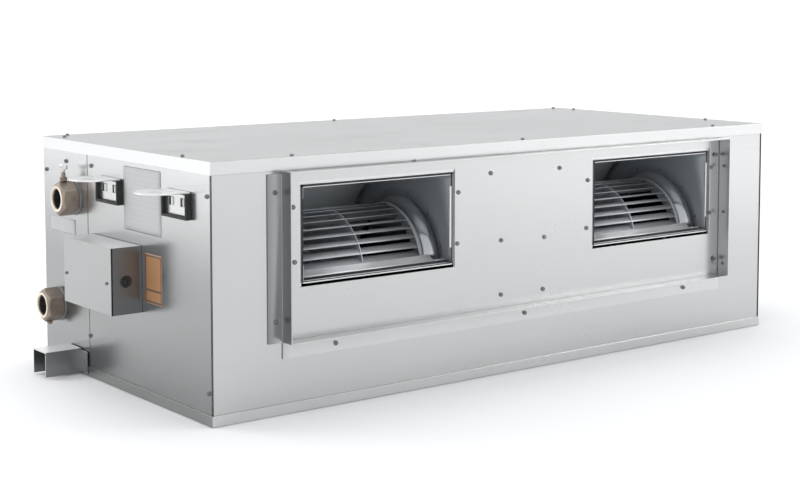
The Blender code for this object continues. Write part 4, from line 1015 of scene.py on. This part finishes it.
# hangers
hanger = {"half": 34 * mm, "sheet": 2 * mm, "reach": 62 * mm, "slot": 11 * mm,
          "slotLength": 22 * mm, "slotSet": 34 * mm, "inner": 29.7 * mm, "drop": 33.7 * mm,
          "window": 11.5 * mm, "windowSet": 15.5 * mm, "windowDrop": 16 * mm}


def hangerTongue(name, spot, out):
    # rays from the slot's outline to the tongue's: point = slot + share * (edge - slot)
    count = 96
    angles = (np.arange(count) + 0.5) * turn / count
    across, side = np.cos(angles), np.sin(angles)
    middle, half, hole = hanger["slotSet"], hanger["half"], hanger["slot"] / 2
    run = hanger["slotLength"] / 2 - hole
    slot = np.stack([middle + run * np.sign(across) + hole * across, hole * side], -1)
    straight = hanger["reach"] - half
    toSide = half / np.maximum(np.abs(side), 1e-6)
    toRoot = np.where(across < 0, (middle - 1.3 * mm) / np.maximum(-across, 1e-6), 1.0)
    shift = middle - straight
    toRound = -shift * across + np.sqrt(half ** 2 - (shift * side) ** 2)
    plain = np.where(across < 0, np.minimum(toSide, toRoot), toRound)
    beyond = middle + toSide * across < straight
    reach = np.where((across >= 0) & beyond, toSide, plain)
    past = middle + reach * across > straight
    reach = np.where((across < 0) & past, toRound, reach)
    edge = np.stack([middle + reach * across, reach * side], -1)
    share = np.linspace(0, 1, 3)[:, None, None]
    flat = slot + share * (edge - slot)
    points = spread(out * flat[..., 0], flat[..., 1], -hanger["sheet"] / 2)
    return surface(name, points + spot, wrapColumns=True)


def hangerBack(name, spot, out):
    # plate ruled by the windows' edges; the two window cells stay open
    w, s = hanger["window"] / 2, hanger["windowSet"]
    across = np.array([-hanger["inner"], -s - w, -s + w, s - w, s + w, hanger["inner"]])
    drop = hanger["windowDrop"]
    up = np.array([-hanger["drop"], -drop - w, -drop + w, -0.4 * mm])
    keep = np.ones((5, 3))
    keep[1, 1] = keep[3, 1] = 0
    return plate(name, across, up, keep, lambda first, second: spot + spread(
        out * 1.3 * mm, first, second))


def hangerWindows(name, spot, out, first, last, near, far):
    # a box in each window from share first to last of its width, between two depths
    w, s = hanger["window"] / 2, hanger["windowSet"]
    middles = np.array([-s, s])
    start, end = sorted((out * near, out * far))
    low = spread(start, middles + w * first, -hanger["windowDrop"] - w * 0.96)
    high = spread(end, middles + w * last, -hanger["windowDrop"] + w * 0.96)
    return bars(name, low + spot, high + spot)


def hangerEdge(name, spot, out):
    # the buffer's upper edge, which closes its frame under the tongue
    start, end = sorted((out * 1.4 * mm, out * 5.0 * mm))
    half = hanger["half"] - 1 * mm
    low = np.array([start, -half, -hanger["sheet"] - 3.0 * mm])
    high = np.array([end, half, -hanger["sheet"] - 0.6 * mm])
    return bars(name, [low + spot], [high + spot])


for side, out in (("left", -1), ("right", 1)):
    for section in ("front", "rear"):
        node = f"{side}_{section}_hanger"
        low, high = boxOf(node)
        spot = np.array([high[0] if out < 0 else low[0], (low[1] + high[1]) / 2, high[2]])
        # the tongue in the lighter lip sheet: painted light
        makePiece(hangerTongue(f"{node}_tongue", spot, out), lipLitSheet, wall=2 * mm,
                  edge=0.4 * mm, replaced=[node])
        makePiece(hangerBack(f"{node}_back", spot, out), galvanised, wall=1.8 * mm,
                  edge=0.3 * mm)
        makePiece(hangerWindows(f"{node}_recess", spot, out, -0.5, 1.0, 1.0 * mm, 2.4 * mm), rubber,
                  slot="rubber")
        # the tabs in the near-white sheet: painted light
        tabs = hangerWindows(f"{node}_tabs", spot, out, -0.97, -0.6, 0.8 * mm, 4.0 * mm)
        makePiece(tabs, paintedLightSheet)
        makePiece(hangerEdge(f"{node}_upper_edge", spot, out), rubber, slot="rubber")
        softened(f"{node}_buffer", rubber, 1.2 * mm, 3)
print("hangers made")


# tags
def makeTag(name, centre, size, finish):
    # a sheet on the left end with round corners: reach to the edge = the smaller of the plain
    # side and the corner's circle, worked out for each ray from the tag's centre
    angles = evenAngles(96)
    cos, sin = np.cos(angles), np.sin(angles)
    power = 60.0
    reach = (np.abs(cos) ** power + np.abs(sin) ** power) ** (-1 / power)
    share = np.linspace(0, 1, 6)[:, None]
    points = spread(endFace - 0.12 * mm, centre[0] + share * reach * cos * size[0] / 2,
                    centre[1] + share * reach * sin * size[1] / 2)
    makePiece(surface(name, points, wrapColumns=True), finish, slot="plastic", wall=0.16 * mm)


plainTag = {"margin": 0.7 * mm, "divider": 0.0, "rules": 0.0, "rough": 0.45}
tags = {
    "amber_tag": dict(
        plainTag, centre=(159.5 * mm + frontEnd, 174 * mm), size=(49 * mm, 70 * mm),
        margin=3.0 * mm, divider=158 * mm, line=1.7 * mm, stock=(0.42, 0.22, 0.10),
        shade=(0.34, 0.17, 0.08), ink=(0.06, 0.05, 0.04), strength=0.9, rough=0.38),
    "data_tag": dict(
        plainTag, centre=(189 * mm + frontEnd, 280.5 * mm), size=(108 * mm, 91 * mm),
        line=0.8 * mm, stock=grey(0.50, 0.01), shade=grey(0.45, 0.01), ink=grey(0.20, 0.01),
        rules=7 * mm, strength=0.7),
    "small_tag": dict(
        plainTag, centre=(443.5 * mm + frontEnd, 218.5 * mm), size=(87 * mm, 23 * mm),
        line=0.5 * mm, stock=grey(0.47, 0.01), shade=grey(0.43, 0.01), ink=grey(0.24, 0.01),
        strength=0.35),
}
for name, tag in tags.items():
    makeTag(name, tag["centre"], tag["size"], paperTag(name + "_stock", tag))
print("tags made")


# return air side
pleat = {"pitch": 12 * mm, "cloth": 0.9 * mm}


def makeFilterCloth(side):
    # depth = swing * a rounded zigzag of x, with slow waves along the height
    node = f"{side}_filter_media"
    low, high = boxOf(node)
    count = int(round((high[0] - low[0]) / pleat["pitch"]))
    across = np.linspace(low[0], high[0], count * 8 + 1)
    height = np.linspace(low[2], high[2], 25)
    phase = (across - low[0]) / (high[0] - low[0]) * count * turn
    wave = np.arcsin(0.985 * np.cos(phase)) / (math.pi / 2)
    swing = (high[1] - low[1]) / 2 - pleat["cloth"] / 2 - 0.3 * mm
    sag = 0.25 * mm * np.sin(height * 31 + 2.0) * np.cos(across[:, None] * 17)
    along = np.clip(across[:, None] + sag, low[0] + 0.2 * mm, high[0] - 0.2 * mm)
    depth = (low[1] + high[1]) / 2 + swing * wave[:, None] * (0.97 + 0.03 * np.sin(height * 40))
    points = spread(along, depth, height)
    cloth = surface(f"{side}_pleated_cloth", points)
    makePiece(cloth, filterCloth, f"{side}_filter", "filter_cloth", wall=pleat["cloth"],
              replaced=[node])


for side in ("left", "right"):
    makeFilterCloth(side)
    softened(f"{side}_filter_frame", filterMetal, 0.2 * mm)
print("return side made")


# studio
def softbox(name, place, target, size, power, tint=(1, 1, 1)):
    lamp = bpy.data.lights.new(name, "AREA")
    lamp.shape = "RECTANGLE"
    lamp.size, lamp.size_y = size
    lamp.energy = power
    lamp.color = tint
    held = bpy.data.objects.new(name, lamp)
    bpy.context.scene.collection.objects.link(held)
    held.location = place
    held.rotation_euler = (Vector(target) - Vector(place)).to_track_quat("-Z", "Y").to_euler()


studio = {
    "floor": (0.90, 0.90, 0.90), "floorHalf": 14.0, "floorDrop": -0.6 * mm,
    "horizon": (1.0, 1.0, 1.0), "zenith": (0.80, 0.81, 0.83), "strength": 1.0, "farGlow": 0.35,
}


def makeFloor():
    # level inside, then rising like a parabola: height = rise * (distance beyond the bend) squared
    radius = np.linspace(0, studio["floorHalf"], 40)[:, None]
    angles = evenAngles(96)
    height = 0.05 * np.clip(radius - 6.0, 0, None) ** 2 + studio["floorDrop"]
    points = spread(radius * np.cos(angles), radius * np.sin(angles), height)
    mesh = surface("studio_floor", points, wrapColumns=True)
    finish = Finish("studioFloor")
    tone = finish.noise(1.5, 2)
    pale = tuple(0.97 * c for c in studio["floor"])
    finish.give(baseColor=finish.blend(tone, pale, studio["floor"]), roughness=0.9, metallic=0.0)
    distance = (finish.axis(0) * finish.axis(0) + finish.axis(1) * finish.axis(1)).rise(1.5, 16.0)
    finish.give(emissionColor=finish.blend(distance, (0.0, 0.0, 0.0), (1.0, 1.0, 1.0)),
                emissionStrength=studio["farGlow"])
    mesh.materials.append(finish.owner)
    floor = bpy.data.objects.new("studio_floor", mesh)
    bpy.context.scene.collection.objects.link(floor)


def lightStudio():
    world = bpy.data.worlds.new("studio")
    bpy.context.scene.world = world
    sky = Finish("studio", world)
    way = sky.add("ShaderNodeTexCoord", output=0)
    height = sky.add("ShaderNodeSeparateXYZ", {}, {"Vector": way}, output=2)
    colour = sky.blend(height.rise(0.0, 0.9), studio["horizon"], studio["zenith"])
    ground = sky.tree.nodes["Background"]
    sky.plug(ground.inputs["Color"], colour)
    ground.inputs["Strength"].default_value = studio["strength"]
    softbox("key", (2.9, -2.5, 1.6), (2.8, -2.4, 0.0), (1.2, 1.2), 40)
    softbox("side", (-1.6, 1.3, 1.4), (-1.4, 1.0, 0.0), (1.0, 1.0), 14)
    softbox("top", (0.2, 0.2, 3.0), (0, 0, 0.2), (3.0, 3.0), 40)
    bpy.context.scene.view_settings.view_transform = "Standard"


def makeCamera():
    # where the photograph was taken from, fitted to the casing's corners in a frame of 800 x 502
    view = {"place": (-1.56926, -1.99898, 0.55354), "azimuth": 37.389, "tilt": 0.08108,
            "lens": 70.328, "shift": -0.15}
    lens = bpy.data.cameras.new("camera")
    lens.lens = view["lens"]
    lens.sensor_width = 36.0
    lens.shift_y = view["shift"]
    lens.clip_start = 0.05
    held = bpy.data.objects.new("camera", lens)
    bpy.context.scene.collection.objects.link(held)
    held.location = view["place"]
    held.rotation_euler = (math.pi / 2 - view["tilt"], 0.0, -math.radians(view["azimuth"]))
    bpy.context.scene.camera = held


makeFloor()
lightStudio()
makeCamera()
print("studio ready")
